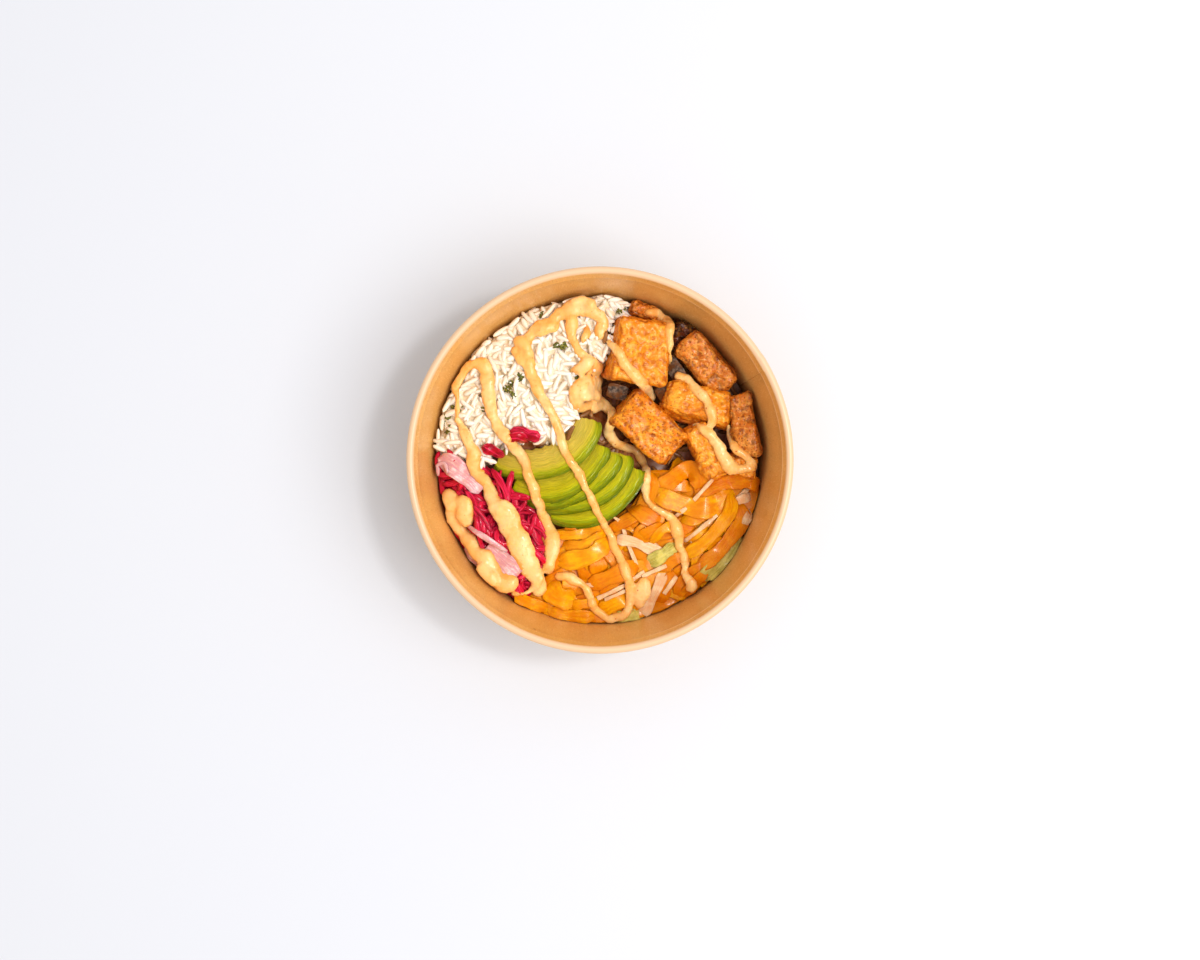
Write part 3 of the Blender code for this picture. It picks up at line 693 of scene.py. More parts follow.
def make_block(seed, middle, size, turn, lean_right, lean_back):
    """A knife-cut block: a finely divided cube pressed to round edges, then worked
    out of square, grooved between the flakes and roughened as a crust."""
    draw = random.Random(seed)
    half = Vector(size) / 2
    straight = half - Vector((BLOCK_CORNER, BLOCK_CORNER, BLOCK_CORNER))
    bm = bmesh.new()
    bmesh.ops.create_cube(bm, size=2.0)
    bmesh.ops.subdivide_edges(bm, edges=bm.edges[:], cuts=BLOCK_CUTS, use_grid_fill=True)
    crust = bm.verts.layers.float.new("crust")
    flake = bm.verts.layers.float.new("flake")
    pit = bm.verts.layers.float.new("pit")
    skew = [draw.uniform(-0.1, 0.1) for _ in range(6)]
    grain_turn = draw.uniform(0.5, 1.1)
    shift = Vector((seed * 13.7, seed * 13.7, 0))
    for v in bm.verts:
        p = Vector([v.co[k] * half[k] for k in range(3)])
        core = Vector([max(-straight[k], min(straight[k], p[k])) for k in range(3)])
        out = (p - core).normalized() if (p - core).length > 1e-6 else Vector((0, 0, 1))
        edge = 1 - max(abs(c) for c in out)
        p = core + out * BLOCK_CORNER
        p.x *= 1 + skew[0] * p.y / half.y + skew[1] * p.z / half.z
        p.y *= 1 + skew[2] * p.x / half.x + skew[3] * p.z / half.z
        p.z *= 1 + skew[4] * p.x / half.x + skew[5] * p.y / half.y
        q = p + shift
        swell = 1.3 * noise.noise(q / 8.0)
        along = p.x * math.cos(grain_turn) + p.y * math.sin(grain_turn) + 0.35 * p.z
        bend = 1.1 * noise.noise(q / 9.0 + Vector((5, 0, 0)))
        phase = (along / FLAKE_PITCH + bend) % 1.0
        groove = math.exp(-((phase - 0.5) / 0.12) ** 2)
        split = groove * blend(0.5 + 1.8 * noise.noise(q / 4.0))
        crag = noise.noise(q / 1.7)
        hollow = blend((noise.noise(q / 1.9 + Vector((0, 9, 0))) - 0.2) / 0.25)
        p += out * (swell + 0.34 * crag + 0.22 * noise.noise(q / 0.8) - 0.3 * split - 0.4 * hollow)
        v.co = p
        v[crust] = blend(0.95 + 0.8 * p.z / half.z + 0.8 * noise.noise(q / 4.0))
        v[flake] = split
        # Browning along the edges, partly real and partly painted shade, and painted shade in the
        # hollows.
        v[pit] = min(1.0, 0.5 * hollow + 3.0 * edge * blend(0.6 + 1.6 * noise.noise(q / 3.0)))
    pose = Matrix.Translation(middle) @ Matrix.Rotation(math.radians(lean_right), 4, "Y")
    pose @= Matrix.Rotation(math.radians(lean_back), 4, "X")
    pose @= Matrix.Rotation(math.radians(turn), 4, "Z")
    bmesh.ops.transform(bm, matrix=pose, verts=bm.verts)
    return bm


def measure(tree, name):
    """A number stored on each point of the mesh."""
    return node(tree, "Attribute", attribute_name=name).outputs["Fac"]


def make_salmon_surface(name, gold, amber, brown, dusting):
    """Seared fish in spiced oil: gold to amber crust, browned along its edges, partly as real browning
    and partly as painted shade, and painted darker in its hollows as shade, pale fat lines, paprika
    grains, painted glints, and glossy all over."""
    made, tree, shader = new_material(name, Roughness=0.4, Subsurface_Weight=0.1, Subsurface_Scale=0.001,
                                      Subsurface_Radius=(1.0, 0.4, 0.1), Specular_IOR_Level=0.25,
                                      Coat_Weight=0.4, Coat_Roughness=0.2)
    spot = on_object(tree)
    wide = place(tree, mottle, Vector=spot, Scale=190.0, Low=0.42, High=0.62)
    small = place(tree, mottle, Vector=spot, Scale=520.0, Low=0.46, High=0.58)
    strands = node(tree, "Mapping", {"Vector": spot, "Rotation": (0.0, 0.0, 0.7),
                                     "Scale": (0.28, 1.0, 1.0)})
    fibres = place(tree, mottle, Vector=strands.outputs[0], Scale=1000.0, Low=0.55, High=0.66)
    crumb = place(tree, mottle, Vector=spot, Scale=1300.0, Low=0.48, High=0.58)
    # Painted glints: pale specks that stand in for highlights.
    glint = place(tree, mottle, Vector=spot, Scale=1500.0, Low=0.56, High=0.66)
    spice = place(tree, flecks, Vector=spot, Scale=1000.0, Size=0.46, Share=dusting)
    burnt = place(tree, flecks, Vector=spot, Scale=700.0, Size=0.26, Share=0.06)
    base = mixed(tree, wide, gold, amber)
    base = mixed(tree, faded(tree, crumb, 0.34), base, brown)
    base = mixed(tree, small, base, amber)
    dark = place(tree, mottle, Vector=spot, Scale=300.0, Low=0.54, High=0.66)
    base = mixed(tree, faded(tree, dark, 0.6), base, brown)
    base = mixed(tree, faded(tree, fibres, 0.5), base, colour(252, 192, 98))
    flesh = mixed(tree, small, colour(214, 122, 52), colour(238, 164, 104))
    base = mixed(tree, measure(tree, "crust"), flesh, base)
    base = mixed(tree, faded(tree, measure(tree, "flake"), 0.4), base, colour(252, 190, 92))
    # Painted shade in the hollows and along the edges, with real browning along the edges too.
    base = mixed(tree, measure(tree, "pit"), base, brown)
    base = mixed(tree, faded(tree, glint, 0.25), base, colour(255, 200, 100))
    base = mixed(tree, spice, base, brown)
    base = mixed(tree, burnt, base, colour(58, 20, 4))
    tree.links.new(base, shader.inputs["Base Color"])
    fine = node(tree, "TexNoise", {"Vector": spot, "Scale": 1100.0, "Detail": 6.0, "Roughness": 0.75})
    relief(tree, shader, fine.outputs[0], 0.0004, 0.5)
    return made


golden = make_salmon_surface("golden_crust", colour(250, 178, 50), colour(234, 140, 8),
                             colour(178, 88, 6), 0.14)
spiced = make_salmon_surface("spiced_crust", colour(246, 164, 20), colour(224, 124, 0),
                             colour(136, 54, 0), 0.45)
browned = make_salmon_surface("browned_crust", colour(236, 156, 62), colour(208, 114, 18),
                              colour(110, 44, 2), 0.3)
# A darker copy of the crust: painted shade for the third block, which lies sunk among the others.
charred = make_salmon_surface("crust_painted_in_shade", colour(126, 58, 12), colour(84, 26, 2),
                              colour(34, 8, 0), 0.2)
CRUSTS = (golden, browned, charred, browned, golden, browned, spiced, golden, golden)
for k, (middle, size, turn, lean_right, lean_back) in enumerate(SALMON):
    block = make_block(k + 3, middle, size, turn, lean_right, lean_back)
    food.cover(block)
    put_in_bowl(f"salmon_block_{k + 1}", block, CRUSTS[k], "salmon", f"salmon_{k + 1}")


# Strips of the fish's own grey skin came off in the pan. They are thin, oily and
# crinkled, and lie sunk in the gaps between the blocks.
SKIN = [
    [(3, 29), (7, 28), (11, 27)],
    [(26, 42), (30, 38), (33, 33)],
    [(24, 30), (26.5, 27.5), (28, 23.5)],
    [(-14, 22), (-11, 18), (-8, 14)],
]
SKIN_LEVEL = 29.0
SKIN_HALF = 3.0
SKIN_THICK = 0.5


def make_skin():
    """A limp strip: a bent grid, crinkled and thickened, sunk between its neighbours."""
    draw = random.Random(29)
    skin = Loose()
    for route in SKIN:
        start, bend, end = (Vector(p) for p in route)
        bm = bmesh.new()
        bmesh.ops.create_grid(bm, x_segments=24, y_segments=14, size=1.0)
        for v in bm.verts:
            share = (v.co.x + 1) / 2
            p = start * (1 - share) ** 2 + bend * 2 * share * (1 - share) + end * share ** 2
            side = Vector((-(end - start).y, (end - start).x)).normalized()
            p += side * v.co.y * SKIN_HALF * (1 - 0.3 * abs(v.co.x) ** 5)
            crinkle = 0.5 * cloud(p.x, p.y, 3.2, 4.0)
            v.co = (p.x, p.y, SKIN_LEVEL + crinkle + 1.5 * v.co.y)
        bmesh.ops.solidify(bm, geom=bm.faces[:], thickness=SKIN_THICK)
        bmesh.ops.recalc_face_normals(bm, faces=bm.faces)
        food.cover(bm)
        skin.add(bm, draw.random())
    return skin


def make_skin_surface():
    """Dark grey skin with pale scales, browned where oil has dried on it."""
    made, tree, shader = new_material("salmon_skin", Roughness=0.35, Specular_IOR_Level=0.5)
    spot = on_object(tree)
    scales = place(tree, mottle, Vector=spot, Scale=700.0, Low=0.44, High=0.6)
    oily = place(tree, mottle, Vector=spot, Scale=250.0, Low=0.42, High=0.6)
    base = mixed(tree, scales, colour(74, 62, 54), colour(132, 112, 94))
    base = mixed(tree, oily, base, colour(120, 74, 34))
    tree.links.new(base, shader.inputs["Base Color"])
    relief(tree, shader, scales, 0.0001, 0.3)
    return made


make_skin().join("salmon_skin", make_skin_surface(), "salmon", "salmon_3", "salmon_5")


# The avocado is a peeled quarter cut into crescents and pushed over into a fan. Each
# slice is pale on its cut face and greener towards the peeled outer edge, which keeps
# the ridges of the knife and peeler.
SLICE_OUTER = 32.0
SLICE_INNER = 19.0
SLICE_THICK = 3.4
SLICE_DROP = 0.95
SLICE_RIM_LEVEL = 38.4
SLICE_TILT = 22.0
SLICE_SPANS = [(-119, -16), (-113, -19), (-109, -20), (-104, -16), (-109, -17)]
SLICE_SHIFTS = [(0, 0), (4, -9), (8.4, -11.4), (13, -14), (17.6, -19)]
SLICE_FACE = 0.78
SLICE_ALONG = 110
SLICE_OVER = 44


def make_slice(index):
    """One crescent: a grid bent round the fan's middle, thickened, with its outer edge
    rolled down and ridged, and its tips drawn in."""
    centre = FAN_MIDDLE + Vector(SLICE_SHIFTS[index])
    start, stop = SLICE_SPANS[index]
    downhill = FAN_STEP.normalized()
    bm = bmesh.new()
    bmesh.ops.create_cube(bm, size=1.0)
    for axis, cuts in ((0, SLICE_ALONG - 1), (1, SLICE_OVER - 1), (2, 3)):
        lines = [e for e in bm.edges if abs(e.verts[0].co[axis] - e.verts[1].co[axis]) > 0.9]
        bmesh.ops.subdivide_edges(bm, edges=lines, cuts=cuts, use_grid_fill=True)
    over_layer = bm.verts.layers.float.new("over")
    along_layer = bm.verts.layers.float.new("along")
    shift = index * 17.0
    for v in bm.verts:
        along, over, depth = v.co.x * 2, v.co.y + 0.5, 0.5 - v.co.z
        turn = math.radians(start + (stop - start) * (along + 1) / 2)
        turn += math.radians(1.2) * cloud(over * 13, 0, 2.5, shift) * abs(along)
        outer = SLICE_OUTER - 1.6 * abs(along) ** 16 + 0.5 * math.sin(4 * along + 2.2 * index)
        inner = SLICE_INNER + 1.0 * along * along + 0.8 * cloud(along * 20, 0, 2.2, shift)
        edge = max(0.0, over - SLICE_FACE) / (1 - SLICE_FACE)
        rounded = edge ** 1.25
        ridge = 1.0 * cloud(along * 3.4, over * 9, 1.0, shift) * blend((over - SLICE_FACE + 0.06) / 0.08)
        radius = inner + (outer - inner) * over
        spot = Vector((radius * math.cos(turn), radius * math.sin(turn)))
        z = SLICE_RIM_LEVEL - SLICE_DROP * index
        z += (spot.dot(downhill) - SLICE_OUTER) * math.tan(math.radians(SLICE_TILT))
        z += 0.35 * cloud(spot.x, spot.y, 8, shift)
        top = -(SLICE_THICK - 0.5) * rounded + ridge + 0.12 * cloud(along * 1.2, over * 9, 1.0, shift)
        inner_round = 0.5 * max(0.0, 0.08 - over) / 0.08
        low = -SLICE_THICK + 0.3 * rounded + inner_round
        z += (top - inner_round) * (1 - depth) + low * depth
        v.co = (centre.x + spot.x, centre.y + spot.y, z)
        v[over_layer] = over
        v[along_layer] = along * 24 + shift
    return bm


def make_avocado_surface(name, heart, middle, outside, edge, rim):
    """Buttery flesh that turns from yellow to green outwards, with fine knife lines
    along the slice and a darker, ridged and glossy rim where the skin was."""
    made, tree, shader = new_material(name, Roughness=0.35, Subsurface_Weight=0.15,
                                      Subsurface_Scale=0.001, Subsurface_Radius=(0.9, 0.9, 0.1),
                                      Specular_IOR_Level=0.2, Coat_Weight=0.4, Coat_Roughness=0.14)
    spot = on_object(tree)
    over = measure(tree, "over")
    lengthwise = node(tree, "CombineXYZ", {"X": measure(tree, "along"), "Y": over})
    streak_way = node(tree, "Mapping", {"Vector": lengthwise.outputs[0], "Scale": (0.09, 26, 1)})
    streaks = place(tree, mottle, Vector=streak_way.outputs[0], Scale=1.5, Low=0.38, High=0.66)
    wobble = node(tree, "TexNoise", {"Vector": spot, "Scale": 230.0, "Detail": 4.0})
    moved = node(tree, "MapRange", {"Value": wobble.outputs[0], "To Min": -0.05, "To Max": 0.05})
    across = node(tree, "Math", {0: over, 1: moved.outputs[0]}, operation="ADD")
    ramp = node(tree, "ValToRGB", {0: across.outputs[0]})
    stops = ramp.color_ramp
    stops.interpolation = "EASE"
    stops.elements[0].position, stops.elements[0].color = 0.2, heart
    stops.elements[1].position, stops.elements[1].color = 1.0, rim
    for position, tint in ((0.58, middle), (0.73, outside), (0.79, edge)):
        stops.elements.new(position).color = tint
    fine_way = node(tree, "Mapping", {"Vector": lengthwise.outputs[0], "Scale": (0.16, 60, 1)})
    lines = place(tree, mottle, Vector=fine_way.outputs[0], Scale=1.5, Low=0.5, High=0.62)
    darker = mixed(tree, 0.7, ramp.outputs[0], rim)
    base = mixed(tree, faded(tree, streaks, 0.5), ramp.outputs[0], darker)
    base = mixed(tree, faded(tree, lines, 0.45), base, middle)
    tree.links.new(base, shader.inputs["Base Color"])
    height = node(tree, "Math", {0: streaks, 1: wobble.outputs[0]}, operation="SUBTRACT")
    relief(tree, shader, height.outputs[0], 0.0004, 0.55)
    return made


pale_flesh = make_avocado_surface("pale_avocado", colour(228, 200, 88), colour(222, 196, 70),
                                  colour(216, 200, 44), colour(178, 184, 0), colour(116, 134, 0))
green_flesh = make_avocado_surface("green_avocado", colour(218, 196, 50), colour(208, 192, 10),
                                   colour(206, 200, 0), colour(164, 174, 0), colour(94, 116, 0))
for k in reversed(range(len(SLICE_SPANS))):
    crescent = make_slice(k)
    food.cover(crescent)
    put_in_bowl(f"avocado_slice_{k + 1}", crescent, green_flesh if k else pale_flesh, "avocado",
                f"avocado_{k + 1}", sharp=70.0)


# The cabbage is shredded red cabbage, pickled until it turned magenta, with a few
# paler leaves from near its heart. Shreds lie over a packed core at the front left.
CABBAGE_MIDDLE = (-45.0, -30.0)
CABBAGE_LEVEL = 26.0
CABBAGE_OUTLINE = [
    (-70, 1), (-55, -1), (-46, -2), (-40, -8), (-32, -13), (-25, -22), (-21, -31), (-22, -38),
    (-24, -47), (-28, -54), (-36, -66), (-60, -50), (-75, -25),
]
SHREDS = 270
SHRED_HEADING = -52
STRIP_LEVEL = 26.0
TUCKED_LENGTH = 3.5
ROLL_LIMIT = 0.6


def outline_reach(middle, direction, outline):
    """Distance from the middle to a closed outline along a direction."""
    reach = 0.0
    for (ax, ay), (bx, by) in zip(outline, outline[1:] + outline[:1]):
        a, side = Vector((ax, ay)) - middle, Vector((bx - ax, by - ay))
        across = direction.cross(side)
        if abs(across) > 1e-9:
            along, share = a.cross(side) / across, a.cross(direction) / across
            if -1e-6 <= share <= 1 + 1e-6 and along > reach:
                reach = along
    return reach


def make_heap(middle, level, outline, around, rings):
    """The core of a heap of shreds, whose top falls a little towards the wall."""
    heart = Vector(middle)

    def reach(direction):
        return outline_reach(heart, direction, outline)

    def top(point):
        return level - 2.0 + 2.6 * off_wall(point, 67, 18) + 1.4 * cloud(point.x, point.y, 7, level)

    return heap_core(middle, reach, top, BED_LEVEL + 0.6, around, rings)


def smooth_route(points, spacing):
    """Points along a smooth curve through the given ones; each may carry a width."""
    points = [Vector(p).to_3d() if len(p) == 2 else Vector(p) for p in points]
    padded = [2 * points[0] - points[1], *points, 2 * points[-1] - points[-2]]
    route = [points[0]]
    for a, b, c, d in zip(padded, padded[1:], padded[2:], padded[3:]):
        count = max(1, round((c - b).to_2d().length / spacing))
        for k in range(1, count + 1):
            t = k / count
            bend = (2 * a - 5 * b + 4 * c - d) * t + (3 * b - a - 3 * c + d) * t * t
            route.append(b + (c - a + bend) * t / 2)
    return route


def eased(values, rounds, rule):
    """Passes a rule over each value and its two neighbours a few times; the ends stay."""
    for _ in range(rounds):
        inner = [rule(*three) for three in zip(values, values[1:], values[2:])]
        values = [values[0], *inner, values[-1]]
    return values


def spanned(before, here, after):
    """A strip held up by what lies beside it doesn't sag into a hollow."""
    return max(here, (before + after) / 2)


def softened(before, here, after):
    """A value drawn half way to those beside it."""
    return (before + 2 * here + after) / 4


def way_at(path, k):
    """The direction, seen from above, in which a path runs at one of its points."""
    return (path[min(k + 1, len(path) - 1)] - path[max(k - 1, 0)]).to_2d().normalized()


def drape(route, half_width, lift, stiffness, spacing, tuck):
    """Lays a flat strip's middle line on the food, with both ends tucked down. Returns
    its path and the roll that follows the food's slope across it."""
    path = smooth_route(route, spacing)
    rolls = []
    for k, p in enumerate(path):
        ahead = way_at(path, k)
        side = Vector((ahead.y, -ahead.x))
        edge = wall_inner(STRIP_LEVEL) - 0.8 - half_width * abs(side.dot(p.to_2d().normalized()))
        if p.to_2d().length > edge:
            p.xy *= edge / p.to_2d().length
        left = food.at(*(p.to_2d() - side * half_width * 0.8))
        right = food.at(*(p.to_2d() + side * half_width * 0.8))
        middle = food.at(*p.to_2d())
        p.z = max(middle, (left + right) / 2) + lift
        roll = math.atan2(right - left, 1.6 * half_width)
        rolls.append(max(-ROLL_LIMIT, min(ROLL_LIMIT, roll)))
    rolls = eased(rolls, stiffness, softened)
    levels = eased(eased([p.z for p in path], stiffness, spanned), 2, softened)
    for k, (p, level) in enumerate(zip(path, levels)):
        from_end = min(k, len(path) - 1 - k) * spacing
        p.z = level - tuck * (1 - blend(from_end / TUCKED_LENGTH))
    return path, rolls


def sweep(path, rolls, half_widths, half_heights, sides=8, square=1.0, cup=0.0):
    """A closed bar along the path. A square below 1 flattens the section's sides, and
    cup bends its edges up. Points keep where they are across and along the bar."""
    bm = bmesh.new()
    bmesh.ops.create_circle(bm, cap_ends=True, segments=sides, radius=1.0)
    across = bm.verts.layers.float.new("across")
    along = bm.verts.layers.float.new("along")
    for v in bm.verts:
        v[across] = v.co.x
        flat = [math.copysign(abs(c) ** square, c) for c in (v.co.x, v.co.y)]
        v.co = (flat[0], flat[1] + cup * (flat[0] ** 2 - 0.4), 0)
    frames = []
    for k, point in enumerate(path):
        ahead = (path[min(k + 1, len(path) - 1)] - path[max(k - 1, 0)]).normalized()
        side = ahead.cross(Vector((0, 0, 1))).normalized()
        rise = side.cross(ahead)
        frame = Matrix((side, rise, ahead)).transposed().to_4x4()
        frame.translation = point
        frame = frame @ Matrix.Rotation(rolls[k], 4, "Z")
        frames.append(frame @ Matrix.Diagonal((half_widths[k], half_heights[k], 1.0, 1.0)))
    bm.faces.ensure_lookup_table()
    end = bm.faces[0]
    bmesh.ops.transform(bm, matrix=frames[0], verts=bm.verts)
    length = 0.0
    for k in range(1, len(path)):
        made = bmesh.ops.extrude_face_region(bm, geom=[end, *end.edges, *end.verts])
        end = next(item for item in made["geom"] if isinstance(item, bmesh.types.BMFace))
        bmesh.ops.transform(bm, matrix=frames[k] @ frames[k - 1].inverted(), verts=end.verts)
        length += (path[k] - path[k - 1]).length
        for v in end.verts:
            v[along] = length
    bmesh.ops.recalc_face_normals(bm, faces=bm.faces)
    return bm


def tapered(count, width, draw, tip=0.45, rough=0.12):
    """Widths along a strip: drawn in at both ends and a little uneven."""
    phase = draw.uniform(0, 9)
    widths = []
    for k in range(count):
        share = k / (count - 1)
        end = min(1.0, tip + (1 - tip) * min(share, 1 - share) * 7)
        uneven = 1 + rough * math.sin(phase + share * 9) + 0.05 * draw.uniform(-1, 1)
        widths.append(width * end * uneven)
    return widths


def lay_strip(loose, draw, route, half_width, thickness, lift=0.1, stiffness=3, cup=0.0, square=0.6,
              sides=8, spacing=1.5, tip=0.45, tuck=0.0):
    """Lays one strip on the food along a route and keeps it with its kind."""
    path, rolls = drape(route, half_width, lift + thickness * 0.3, stiffness, spacing, tuck)
    if len(path) < 4:
        return
    widths = tapered(len(path), half_width, draw, tip)
    heights = [thickness / 2 * min(1.0, 0.5 + w / half_width / 2) for w in widths]
    bar = sweep(path, rolls, widths, heights, sides, square, cup)
    food.cover(bar)
    loose.add(bar, draw.random())


def curved_route(spot, heading, half, bends):
    """A bent line through a spot. Each bend is a place along it and a step aside."""
    dx, dy = math.cos(heading), math.sin(heading)
    return [(spot.x + s * half * dx - aside * dy, spot.y + s * half * dy + aside * dx)
            for s, aside in bends]


def scatter_shreds(shreds):
    """Shreds run mostly from upper left to lower right, each with its own bend."""
    draw = random.Random(11)
    for _ in range(SHREDS):
        spot = Vector((draw.uniform(-68, -22), draw.uniform(-58, 0)))
        if spot.length > 65 or outline_distance(spot, CABBAGE_OUTLINE) < 0.5:
            continue
        heading = math.radians(SHRED_HEADING + 34 * draw.gauss(0, 1))
        half = draw.uniform(3.5, 10)
        bend = draw.gauss(0, 2.0)
        route = curved_route(spot, heading, half, ((-1, 0), (-0.4, bend), (0.4, bend), (1, -0.4 * bend)))
        lay_strip(shreds, draw, route, draw.uniform(0.6, 1.6), draw.uniform(0.8, 1.4),
                  cup=draw.uniform(-0.3, 0.5), square=0.45)


def strip_pattern(tree, stretch, low, high, scale):
    """Lines along a strip, from the places that its points keep; each strip differs."""
    lengthwise = node(tree, "CombineXYZ", {"X": measure(tree, "along"), "Y": measure(tree, "across"),
                                           "Z": shade_of(tree)})
    stretched = node(tree, "Mapping", {"Vector": lengthwise.outputs[0], "Scale": stretch})
    return place(tree, mottle, Vector=stretched.outputs[0], Scale=scale, Low=low, High=high)


def make_pickle_surface(name, tints, rib_tint, ribs, clear):
    """Pickled leaf: wet, dyed, clearer where thin, with veins along its length."""
    made, tree, shader = new_material(name, Roughness=0.3, Subsurface_Weight=clear,
                                      Subsurface_Scale=0.001, Subsurface_Radius=(1.0, 0.3, 0.3),
                                      Specular_IOR_Level=0.2, Coat_Weight=0.5, Coat_Roughness=0.12)
    spot = on_object(tree)
    veins = strip_pattern(tree, (0.12, ribs, 9), 0.42, 0.62, 1.4)
    patches = place(tree, mottle, Vector=spot, Scale=330.0, Low=0.4, High=0.64)
    base = mixed(tree, shade_of(tree), tints[0], tints[1])
    base = mixed(tree, patches, base, tints[2])
    base = mixed(tree, veins, base, rib_tint)
    tree.links.new(base, shader.inputs["Base Color"])
    relief(tree, shader, veins, 0.00025, 0.5)
    return made


magenta = make_pickle_surface(
    "pickled_cabbage", (colour(232, 8, 52), colour(110, 0, 16), colour(186, 2, 32)),
    colour(236, 44, 92), 3.0, 0.1)
pale_pink = make_pickle_surface(
    "pale_cabbage", (colour(236, 196, 188), colour(226, 168, 158), colour(240, 214, 212)),
    colour(220, 156, 166), 7.0, 0.25)
cabbage_core = make_heap(CABBAGE_MIDDLE, CABBAGE_LEVEL, CABBAGE_OUTLINE, around=96, rings=26)
food.cover(cabbage_core)
put_in_bowl("cabbage_core", cabbage_core, magenta, "red_cabbage", "red_cabbage")
shreds = Loose()
scatter_shreds(shreds)
pink = Loose()
pink_draw = random.Random(17)
lay_strip(pink, pink_draw, [(-65, 2), (-59, -2), (-53, -7), (-48, -12)], 4.0, 1.2, cup=0.5, sides=12)
lay_strip(pink, pink_draw, [(-46, -35), (-39, -41), (-33, -46)], 4.6, 1.2, cup=0.4, sides=12, tip=0.8)
lay_strip(pink, pink_draw, [(-56, -35), (-52, -41), (-47, -45)], 2.6, 1.1, cup=0.4, sides=12)
lay_strip(pink, pink_draw, [(-53.5, -26), (-46, -31), (-37.5, -36.5)], 1.2, 1.6)
lay_strip(pink, pink_draw, [(-66, -6), (-65.5, -2), (-62.5, -1), (-61, -5)], 0.8, 1.2)
lay_strip(shreds, pink_draw, [(-36, 11), (-31, 11), (-24, 9)], 2.6, 2.6, lift=0.4)
lay_strip(shreds, pink_draw, [(-37, 8.5), (-33, 9.5), (-29, 8)], 2.2, 2.2, lift=0.4)
lay_strip(shreds, pink_draw, [(-47, 5.5), (-43, 4), (-39, 2)], 2.2, 2.2, lift=0.4)
shreds.join("cabbage_shreds", magenta, "red_cabbage", "red_cabbage")
pink.join("pale_cabbage_leaves", pale_pink, "red_cabbage", "red_cabbage")


